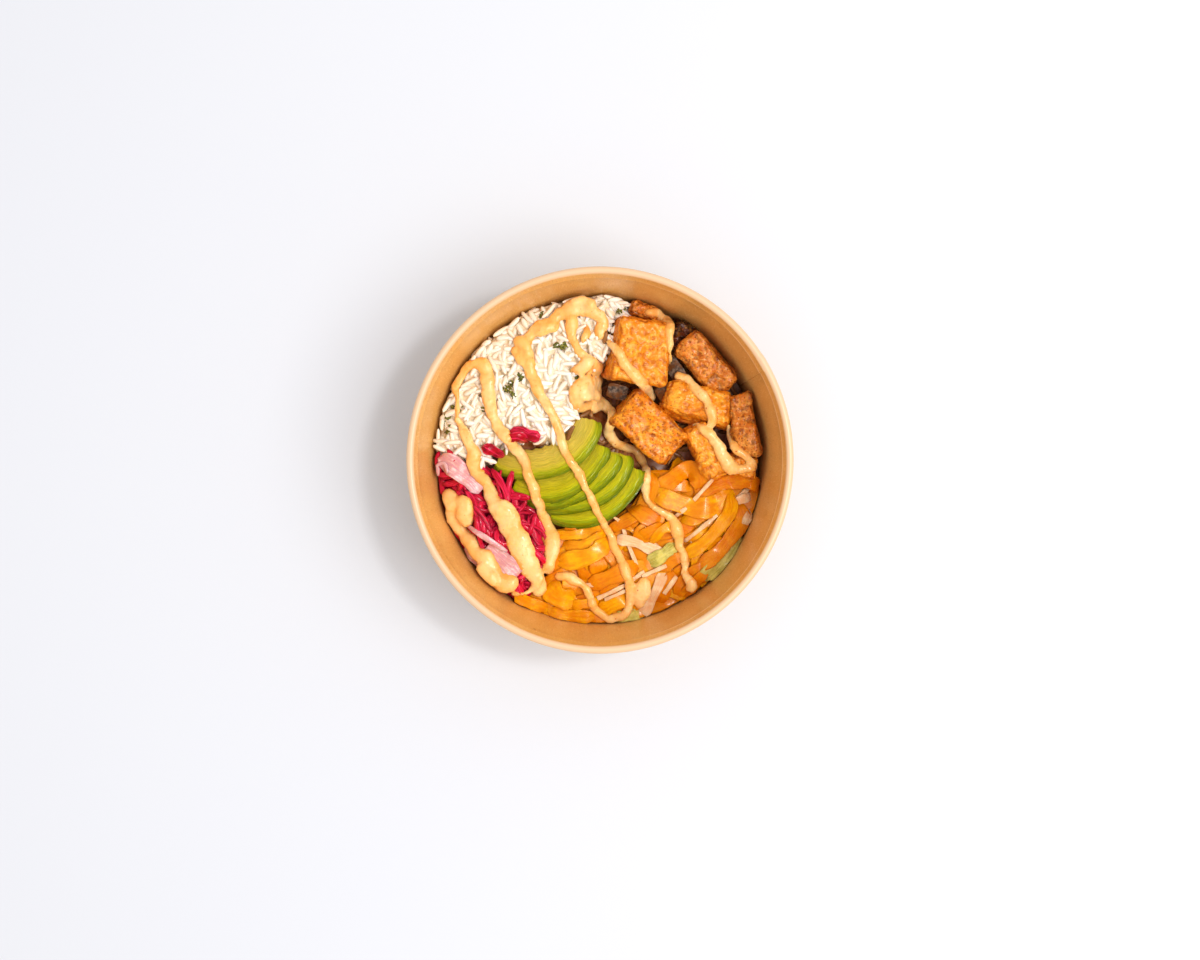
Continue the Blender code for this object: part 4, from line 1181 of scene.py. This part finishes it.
# The slaw is raw vegetables cut into ribbons: carrot, yellow pepper and thin white
# radish sticks, with a few pale green leaves at the wall. The named ribbons lie in
# the order in which they cover each other, over random ones that fill the heap.
SLAW_MIDDLE = (22.0, -36.0)
SLAW_LEVEL = 24.5
SLAW_OUTLINE = [
    (-26, -57), (-21, -48), (-20, -38), (-18, -28), (-6, -26), (6, -23), (13, -18), (17, -12),
    (18.5, -4), (25, -3.5), (31, -4), (37, -9), (43, -12), (50, -11), (59, -10), (70, -9),
    (72, -25), (55, -50), (30, -68), (0, -75), (-25, -70),
]
FILL_RIBBONS = 100
FAN_REACH = 39.0
CARROT, PEPPER, RADISH, LEAF = range(4)
SLAW = [
    (LEAF, [(41, -49), (49, -44), (55, -37), (59, -29)], 3.4, 0.8, 0.5),
    (LEAF, [(6, -65), (12, -65), (18, -64)], 2.6, 0.8, 0.5),
    (PEPPER, [(-35, -57), (-29, -60), (-22, -62)], 2.6, 1.8, 0.2),
    (PEPPER, [(-12, -59), (-6, -58), (0, -58)], 2.2, 1.8, 0.2),
    (CARROT, [(58, -8), (62, -9), (66, -11)], 3.0, 1.5, 0.0),
    (PEPPER, [(-19, -30), (-12, -30), (-4, -29), (3, -26)], 2.2, 1.6, 0.3),
    (CARROT, [(10, -27), (17, -20), (21, -12), (21, -5)], 3.4, 1.4, 0.2),
    (CARROT, [(14, -33), (21, -26), (26, -18), (27, -11)], 3.6, 1.4, 0.2),
    (PEPPER, [(-15, -34), (-9, -34.5), (-2.5, -32), (2, -29)], 2.2, 1.6, 0.3),
    (CARROT, [(4, -28), (11, -24), (17, -21)], 2.7, 1.6, 0.2),
    (CARROT, [(24, -58), (27, -50), (30.5, -46)], 3.1, 1.6, 0.2),
    (CARROT, [(35, -56), (38, -50), (43, -45)], 2.6, 1.5, 0.2),
    (PEPPER, [(0, -61), (6, -58), (11, -55)], 3.2, 1.8, 0.4),
    (PEPPER, [(33, -24), (39, -23), (46, -20)], 2.7, 1.8, 0.3),
    (PEPPER, [(35, -32), (40, -30), (45, -28)], 2.6, 1.8, 0.3),
    (CARROT, [(12, -18), (18, -22), (25, -26)], 3.3, 1.3, 0.1),
    (CARROT, [(16, -31), (21, -28), (26, -27)], 2.5, 1.4, 0.1),
    (PEPPER, [(21, -33), (25, -28), (31, -26)], 2.2, 1.6, 0.3),
    (CARROT, [(38, -16), (46, -11), (53, -8.5), (61, -9)], 2.9, 1.4, 0.3),
    (PEPPER, [(-17, -41), (-10, -40), (-3, -38), (3, -33)], 3.7, 1.8, 0.5),
    (CARROT, [(-4, -50.5), (2, -48), (9, -45), (15, -42)], 3.6, 1.9, 0.1),
    (CARROT, [(24, -12), (30, -7), (35.5, -3.5), (39.5, -6), (41, -12)], 3.9, 1.3, 0.4),
    (PEPPER, [(22, -13), (30, -16.5), (39, -19), (47, -18), (54, -12)], 4.2, 1.4, 0.5),
    (PEPPER, [(-21, -62), (-15, -64.5), (-8, -65), (-2, -64)], 2.7, 2.2, 0.3),
    (CARROT, [(57, -17), (58, -24), (54, -30), (48, -37), (40, -43.5)], 3.2, 1.6, 0.3),
    (PEPPER, [(53, -13), (53, -20), (48, -27), (41, -34), (34.5, -38.5)], 2.9, 1.8, 0.4),
    (PEPPER, [(-21, -51), (-17, -55), (-11, -57)], 4.6, 2.4, 0.6),
    (RADISH, [(6, -31.5), (14, -33), (21, -36), (27, -38.5)], 2.3, 0.9, 0.2),
    (RADISH, [(17, -66), (19, -61), (24, -50), (26, -44)], 2.1, 0.8, 0.1),
    (LEAF, [(19, -42), (25, -38.5), (31, -34)], 2.8, 1.0, 0.3),
    (RADISH, [(38, -16), (45.5, -7.5)], 0.8, 0.9, 0.0),
    (RADISH, [(30, -23), (35, -19)], 0.8, 0.9, 0.0),
    (RADISH, [(34.5, -32.5), (47.5, -22)], 0.85, 0.9, 0.0),
    (RADISH, [(55, -16.5), (62.5, -14)], 1.9, 0.9, 0.0),
    (RADISH, [(58.5, -27.5), (63, -20)], 1.8, 0.9, 0.0),
    (RADISH, [(-1, -56), (11, -50)], 0.9, 0.9, 0.0),
    (RADISH, [(2, -56.5), (12, -52)], 0.7, 0.9, 0.0),
    (RADISH, [(26, -54), (31, -47)], 1.0, 0.9, 0.0),
    (RADISH, [(12.5, -48.5), (18, -45)], 0.9, 0.9, 0.0),
    (RADISH, [(17, -47), (27, -42.5)], 0.85, 0.9, 0.0),
]


def scatter_ribbons(kinds):
    """Short random ribbons and sticks that fill the heap under the named ones."""
    draw = random.Random(31)
    for _ in range(FILL_RIBBONS):
        spot = Vector((draw.uniform(-24, 66), draw.uniform(-68, -2)))
        from_fan = (spot - FAN_MIDDLE - Vector(SLICE_SHIFTS[-1])).length
        if spot.length > 64 or outline_distance(spot, SLAW_OUTLINE) < 2.0 or from_fan < FAN_REACH:
            continue
        kind = draw.choice((CARROT, CARROT, PEPPER, PEPPER, PEPPER, RADISH))
        half_width = draw.uniform(0.7, 1.1) if kind == RADISH else draw.uniform(2.4, 4.0)
        heading = draw.uniform(0, math.pi)
        half = draw.uniform(6, 12)
        bend = draw.gauss(0, 0.6) if kind == RADISH else draw.gauss(0, 3)
        route = curved_route(spot, heading, half, ((-1, 0), (-0.3, bend), (0.3, bend), (1, 0)))
        lay_strip(kinds[kind], draw, route, half_width, draw.uniform(0.9, 1.3), stiffness=4,
                  cup=draw.uniform(0, 0.6), sides=12, tip=0.5, square=0.3, tuck=1.5)


def make_vegetable_surface(name, tints, ribs, clear, radius):
    """Raw cut vegetable: juicy and glossy, with fibres along its length. The tints are two for whole
    strips, then patches, fibres and a painted shade along each strip's edges."""
    made, tree, shader = new_material(name, Roughness=0.35, Subsurface_Weight=clear,
                                      Subsurface_Scale=0.001, Subsurface_Radius=radius,
                                      Specular_IOR_Level=0.2, Coat_Weight=0.35, Coat_Roughness=0.16)
    spot = on_object(tree)
    fibres = strip_pattern(tree, (0.1, ribs, 9), 0.36, 0.66, 1.6)
    patches = place(tree, mottle, Vector=spot, Scale=260.0, Low=0.4, High=0.66)
    base = mixed(tree, shade_of(tree), tints[0], tints[1])
    base = mixed(tree, patches, base, tints[2])
    base = mixed(tree, faded(tree, fibres, 0.5), base, tints[3])
    # Painted shade along each strip's edges.
    width = node(tree, "Math", {0: measure(tree, "across")}, operation="ABSOLUTE")
    border = node(tree, "MapRange", {"Value": width.outputs[0], "From Min": 0.6, "From Max": 1.0,
                                     "To Max": 0.3})
    base = mixed(tree, border.outputs[0], base, tints[4])
    tree.links.new(base, shader.inputs["Base Color"])
    fine = node(tree, "TexNoise", {"Vector": spot, "Scale": 900.0, "Detail": 3.0})
    height = node(tree, "Math", {0: fibres, 1: fine.outputs[0]}, operation="ADD")
    relief(tree, shader, height.outputs[0], 0.0002, 0.5)
    return made


# The fifth tint of each vegetable is the painted shade along its strips' edges.
carrot_flesh = make_vegetable_surface(
    "carrot",
    (colour(222, 130, 0), colour(218, 114, 0), colour(230, 144, 0), colour(236, 154, 0),
     colour(170, 60, 0)),
    5.0, 0.1, (1.0, 0.4, 0.04))
pepper_flesh = make_vegetable_surface(
    "yellow_pepper",
    (colour(238, 162, 0), colour(226, 142, 0), colour(244, 180, 0), colour(214, 120, 0),
     colour(196, 96, 0)),
    3.0, 0.1, (1.0, 0.6, 0.04))
radish_flesh = make_vegetable_surface(
    "white_radish",
    (colour(246, 206, 160), colour(240, 186, 140), colour(250, 222, 184), colour(232, 176, 118),
     colour(226, 160, 96)),
    5.0, 0.3, (1.0, 0.8, 0.6))
leaf_flesh = make_vegetable_surface(
    "pale_leaf",
    (colour(206, 190, 86), colour(168, 156, 60), colour(224, 208, 110), colour(236, 224, 146),
     colour(140, 130, 44)),
    6.0, 0.25, (0.8, 0.9, 0.3))
slaw_core = make_heap(SLAW_MIDDLE, SLAW_LEVEL, SLAW_OUTLINE, around=128, rings=30)
food.cover(slaw_core)
put_in_bowl("slaw_core", slaw_core, carrot_flesh, "slaw", "slaw")
slaw_kinds = [Loose() for _ in range(4)]
scatter_ribbons(slaw_kinds)
ribbon_draw = random.Random(37)
for kind, route, half_width, thickness, cup in SLAW:
    stick = kind == RADISH and half_width < 1.1
    lay_strip(slaw_kinds[kind], ribbon_draw, route, half_width, 0.8 * thickness, stiffness=8, cup=cup,
              sides=16, spacing=1.2, tip=0.9 if stick else 0.55, square=0.3, tuck=0.0 if stick else 1.4)
slaw_kinds[CARROT].join("carrot_ribbons", carrot_flesh, "slaw", "slaw", sharp=75.0)
slaw_kinds[PEPPER].join("pepper_strips", pepper_flesh, "slaw", "slaw", sharp=75.0)
slaw_kinds[RADISH].join("radish_sticks", radish_flesh, "slaw", "slaw", sharp=75.0)
slaw_kinds[LEAF].join("pale_leaves", leaf_flesh, "slaw", "slaw", sharp=75.0)


# The sauce is a thick peach-coloured spiced mayonnaise, squeezed from a bottle in
# loops. Each bead is draped over the food, and they all run together where they touch.
SAUCE = [
    [(-24, -55, 3.6), (-25.5, -48, 3.8), (-28, -44, 4.8), (-31.5, -35.5, 5.4), (-35, -29, 5.6),
     (-38.5, -21.5, 6.2), (-42.5, -16.5, 4.0), (-46, -9.5, 3.0), (-50, -3.5, 3.6), (-50.5, 3, 3.2),
     (-51.5, 5.5, 2.8), (-54.5, 11.5, 2.3), (-57, 17, 1.3), (-57.5, 24, 1.3), (-57.5, 30, 1.9),
     (-56.5, 35, 2.2), (-52.5, 38.5, 2.4), (-47, 39, 2.9), (-45, 34.5, 3.3), (-45, 28, 3.3),
     (-43, 19.5, 3.0), (-39.5, 11.5, 2.8), (-34, 5.5, 2.7), (-30.5, 0, 2.7), (-29, -5, 2.7),
     (-26.5, -12, 2.6), (-24, -19.5, 2.8), (-21.5, -26, 3.4), (-19.5, -33, 4.0),
     (-20.5, -40.5, 3.4), (-21.5, -46, 2.8)],
    [(-18.5, -46.5, 2.3), (-11.5, -48, 2.4), (-5.5, -52, 2.3), (-2.5, -59, 2.2), (2, -64, 2.2),
     (6, -64, 2.4), (10, -62, 2.3), (12, -59, 2.2), (12, -55, 2.2), (12, -50, 2.2),
     (10.5, -44.5, 2.3), (7.5, -38.5, 2.2), (4, -30, 2.2), (0, -22.5, 2.0), (-4, -14.5, 2.0),
     (-10, -2.5, 2.2), (-12, 0, 2.2), (-15.5, 8, 2.3), (-17.5, 16, 2.2), (-21.5, 22.5, 2.5),
     (-25.5, 29.5, 2.7), (-27.5, 35, 3.0), (-29, 41, 3.2), (-30.5, 46.5, 3.4), (-26, 52.5, 2.6),
     (-20, 56, 2.9), (-14, 59.5, 3.5), (-9, 61, 4.2), (-3, 60, 3.2), (1.5, 56, 3.0), (0.5, 53, 3.0),
     (-1, 49, 2.8)],
    [(-11, 58, 3.0), (-11.5, 52, 2.8), (-11, 48, 1.8), (-9, 44, 2.0), (-6.5, 41, 2.7),
     (-3, 38.5, 4.2), (0.5, 36.5, 3.5)],
    [(-34.5, 48.5, 2.2), (-31, 47, 2.8), (-28, 44, 2.4)],
    [(0.5, 33, 3.2), (-5, 32, 3.4), (-9.5, 28, 3.2), (-9, 22.5, 3.4), (-4, 22, 3.4), (0.5, 24, 3.4),
     (3, 22, 2.8), (5, 18.5, 2.4), (3.5, 12, 2.5), (7, 7, 2.5), (12, 5.5, 2.3), (16.5, 2, 2.2),
     (18.5, -2.5, 2.3), (19, -5, 2.4), (18.5, -11, 2.2), (19.5, -16.5, 1.5), (24, -20, 1.7),
     (28.5, -23, 2.4), (31, -27.5, 3.0), (32.5, -33.5, 2.3), (34, -40.5, 2.3), (35, -46.5, 2.3),
     (37.5, -50.5, 2.6), (35, -52, 2.7)],
    [(3, 48.5, 1.5), (4, 47, 1.8), (7, 43.5, 2.3), (9.5, 39, 2.5), (14, 34, 2.7), (18.5, 29.5, 3.3),
     (22, 25, 2.5)],
    [(18, 59, 1.6), (20, 60, 2.2), (23.5, 59.5, 2.8), (27, 56, 2.8), (28, 50, 2.6),
     (27.5, 44.5, 1.6), (28.5, 39, 1.0)],
    [(29.5, 35, 1.9), (31, 34.5, 2.3), (34.5, 33, 2.5), (38.5, 29, 2.6), (42.5, 25, 2.6),
     (44.5, 20, 2.7), (45, 16, 2.7), (44.8, 13.5, 2.2)],
    [(37.5, 15, 1.4), (39, 14.5, 1.7), (43, 11.5, 2.4), (47, 7, 2.8), (49.5, 1.5, 3.0),
     (52, -2, 3.2), (56.5, -3.5, 2.6), (62.5, -3, 2.0)],
    [(51.5, 14.5, 1.3), (53, 9.5, 1.7), (55.5, 4, 2.3), (60, 0.5, 2.2), (63.5, -3, 1.6)],
    [(17.5, -47.5, 2.8), (17, -52, 3.9), (16.5, -55, 3.9), (15.5, -60, 2.6)],
    [(-63, -12, 2.0), (-61.5, -14, 3.6), (-58.5, -18.5, 4.8), (-57.5, -25, 4.8), (-56, -29, 3.4),
     (-52.5, -33, 4.0), (-50, -37, 3.2), (-46.5, -39, 3.6), (-45.5, -43, 4.4), (-43, -46.5, 5.4),
     (-38.5, -49, 5.2), (-33, -49, 3.8)],
    [(-56, -14, 2.4), (-54.5, -18, 3.8), (-54.5, -23, 4.0), (-56, -26, 3.0)],
    [(-48.5, -42, 2.4), (-47, -47, 3.2), (-42, -51, 3.0)],
    [(-36, -54, 1.2), (-30, -53.5, 1.3), (-26, -50, 2.0), (-24, -46, 2.0)],
    [(-26, 50, 1.6), (-21, 53, 3.2), (-16, 54, 2.4)],
    [(-12, 63, 2.0), (-7, 64, 2.6), (-2, 61, 3.0)],
    [(-31, 38, 1.6), (-33, 42, 2.2), (-35, 46, 1.6)],
    [(-7, 55, 1.4), (-5, 51, 2.0), (-7, 47, 1.4)],
    [(-12, 36, 1.6), (-7, 37, 3.2), (-4, 41, 2.8)],
    [(-8, 29, 2.4), (-4, 29, 3.4), (0, 28, 2.8)],
    [(-8, 26, 2.4), (-4, 26, 3.0), (0, 27, 2.4)],
]
SAUCE_LEVEL = 30.0
BEAD_ROUND = 0.66
PUDDLE_HALF = 3.2
OPAQUE_DEPTH = 2.6
SAUCE_VOXEL = 0.5


def drape_bead(route):
    """Lays a bead's middle line on the food; soft sauce sags into hollows, but spans
    small gaps."""
    points = smooth_route(route, 1.3)
    for p in points:
        uneven = 1 + 0.28 * cloud(p.x, p.y, 4.5, 2.0) + 0.2 * cloud(p.x, p.y, 1.9, 5.0)
        p.z = max(0.8, 0.88 * p.z * uneven)
        p.xy += Vector((cloud(p.x, p.y, 4, 8.0), cloud(p.x, p.y, 4, 9.0))) * 0.8
    halves = [p.z for p in points]
    for p, half in zip(points, halves):
        limit = wall_inner(SAUCE_LEVEL) - 0.6 - half
        if p.to_2d().length > limit:
            p.xy *= limit / p.to_2d().length
    levels = []
    for k, (p, half) in enumerate(zip(points, halves)):
        ahead = way_at(points, k)
        side = Vector((ahead.y, -ahead.x)) * half * 0.5
        spots = (p.to_2d(), p.to_2d() + side, p.to_2d() - side)
        under = sorted(food.at(*spot) for spot in spots)
        levels.append(0.4 * under[2] + 0.6 * under[1] + 0.12 * half)
    levels = eased(eased(levels, 3, spanned), 2, lambda *three: sum(three) / 3)
    path = [Vector((p.x, p.y, level)) for p, level in zip(points, levels)]
    return path, halves


def rounded_ends(path, halves):
    """Draws a bead's ends in to round tips."""
    done = [0.0]
    for a, b in zip(path, path[1:]):
        done.append(done[-1] + (b - a).length)
    shaped = []
    for gone, half in zip(done, halves):
        end = min(1.0, (min(gone, done[-1] - gone) + 0.25) / half)
        shaped.append(half * math.sqrt(max(0.02, 1 - (1 - end) ** 2)))
    return shaped


def make_sauce(surface):
    """Lays every bead, then lets them run together. A bead wider than a puddle's half width spreads
    rather than rises, and the sauce is coloured darker and more orange low down, near the food, than on
    its tops."""
    beads = Loose()
    ground = food.level.copy()
    for route in SAUCE:
        path, halves = drape_bead(route)
        halves = rounded_ends(path, halves)
        heights = [BEAD_ROUND * min(half, PUDDLE_HALF) + 0.2 * max(0.0, half - PUDDLE_HALF)
                   for half in halves]
        bead = sweep(path, [0.0] * len(path), halves, heights, sides=14)
        food.cover(bead)
        beads.add(bead, 0.5)
    piece = beads.join("sauce", surface, "slaw", "slaw")
    remesh = piece.modifiers.new("run together", "REMESH")
    remesh.mode = "VOXEL"
    remesh.voxel_size = SAUCE_VOXEL * MM
    smooth = piece.modifiers.new("surface tension", "CORRECTIVE_SMOOTH")
    smooth.use_only_smooth = True
    smooth.iterations = 6
    bpy.context.view_layer.update()
    bm = bmesh.new()
    bm.from_object(piece, bpy.context.evaluated_depsgraph_get())
    piece.modifiers.clear()
    depth = bm.verts.layers.float.new("depth")
    for v in bm.verts:
        p = v.co / MM
        v.co += v.normal * MM * (0.3 * noise.noise(p / 3.4) + 0.14 * noise.noise(p / 1.1))
        # From 0 low down near the food to 1 on the beads' tops.
        v[depth] = blend((p.z - ground[food.index(p.x), food.index(p.y)]) / OPAQUE_DEPTH)
    bm.to_mesh(piece.data)
    bm.free()
    piece.data.shade_smooth()
    return piece


def make_sauce_surface():
    """Smooth, shiny mayonnaise with paprika and chilli specks, darker and more orange low down near the
    food.
    """
    made, tree, shader = new_material("spiced_mayonnaise", Roughness=0.36, Subsurface_Weight=0.4,
                                      Subsurface_Scale=0.003, Subsurface_Radius=(1.0, 0.6, 0.28),
                                      Specular_IOR_Level=0.3, Coat_Weight=0.4, Coat_Roughness=0.14)
    spot = on_object(tree)
    stirred = place(tree, mottle, Vector=spot, Scale=60.0, Low=0.4, High=0.6)
    chilli = place(tree, flecks, Vector=spot, Scale=330.0, Size=0.17, Share=0.1)
    paprika = place(tree, flecks, Vector=spot, Scale=900.0, Size=0.3, Share=0.08)
    base = mixed(tree, stirred, colour(252, 209, 146), colour(248, 192, 114))
    # Darker and more orange low down near the food, paler on the beads' tops.
    base = mixed(tree, measure(tree, "depth"), colour(240, 168, 82), base)
    base = mixed(tree, paprika, base, colour(236, 140, 50))
    base = mixed(tree, chilli, base, colour(196, 74, 22))
    tree.links.new(base, shader.inputs["Base Color"])
    fine = node(tree, "TexNoise", {"Vector": spot, "Scale": 700.0, "Detail": 4.0})
    relief(tree, shader, fine.outputs[0], 0.00012, 0.4)
    return made


make_sauce(make_sauce_surface())


# The studio: a white table, light from a wide softbox at the right, white walls
# all round, and a camera straight above the bowl.
CAMERA_HEIGHT = 0.704
CAMERA_FORWARD = 0.00773
LENS = 50.0
FILM_WIDTH = 36.0
TABLE_HALF = 4.0
WALL_LIGHT = 0.89
WALL_GLOSS = 0.16


def make_table():
    """A white matt table top, wider than any view of it."""
    bm = bmesh.new()
    bmesh.ops.create_grid(bm, x_segments=1, y_segments=1, size=TABLE_HALF)
    mesh = bpy.data.meshes.new("table")
    bm.to_mesh(mesh)
    bm.free()
    white, tree, shader = new_material("table_white", Roughness=0.7)
    shade = place(tree, mottle, Vector=on_object(tree), Scale=2.0, Low=0.2, High=0.8)
    base = mixed(tree, shade, colour(216, 217, 221), colour(215, 216, 221))
    tree.links.new(base, shader.inputs["Base Color"])
    mesh.materials.append(white)
    table = bpy.data.objects.new("table", mesh)
    bpy.context.scene.collection.objects.link(table)


def make_light(name, place_at, size, energy, tint):
    """A square lamp that shines at the bowl's foot."""
    light = bpy.data.lights.new(name, "AREA")
    light.shape = "SQUARE"
    light.size = size
    light.energy = energy
    light.color = tint
    lamp = bpy.data.objects.new(name, light)
    lamp.location = place_at
    lamp.rotation_mode = "QUATERNION"
    lamp.rotation_quaternion = (-Vector(place_at)).to_track_quat("-Z", "Y")
    bpy.context.scene.collection.objects.link(lamp)


def make_studio():
    """White walls light the food, but are dimmer in its gloss, so that it isn't veiled."""
    make_table()
    world = bpy.data.worlds.new("white_walls")
    world.use_nodes = True
    tree = world.node_tree
    walls = tree.nodes["Background"].inputs
    walls["Color"].default_value = (1.0, 0.99, 0.99, 1.0)
    in_gloss = node(tree, "LightPath").outputs["Is Glossy Ray"]
    strength = node(tree, "MapRange", {"Value": in_gloss, "To Min": WALL_LIGHT,
                                       "To Max": WALL_GLOSS})
    tree.links.new(strength.outputs[0], walls["Strength"])
    bpy.context.scene.world = world
    make_light("softbox", (0.66, -0.18, 1.25), 0.9, 10.6, (1.0, 0.995, 0.985))
    make_light("lamp", (0.4, 0.1, 1.15), 0.12, 2.8, (1.0, 1.0, 1.0))
    lens = bpy.data.cameras.new("camera")
    lens.lens = LENS
    lens.sensor_width = FILM_WIDTH
    camera = bpy.data.objects.new("camera", lens)
    camera.location = (0.0, -CAMERA_FORWARD, CAMERA_HEIGHT)
    bpy.context.scene.collection.objects.link(camera)
    bpy.context.scene.camera = camera
    bpy.context.scene.view_settings.view_transform = "Standard"
    bpy.context.scene.view_settings.gamma = 0.9


make_studio()
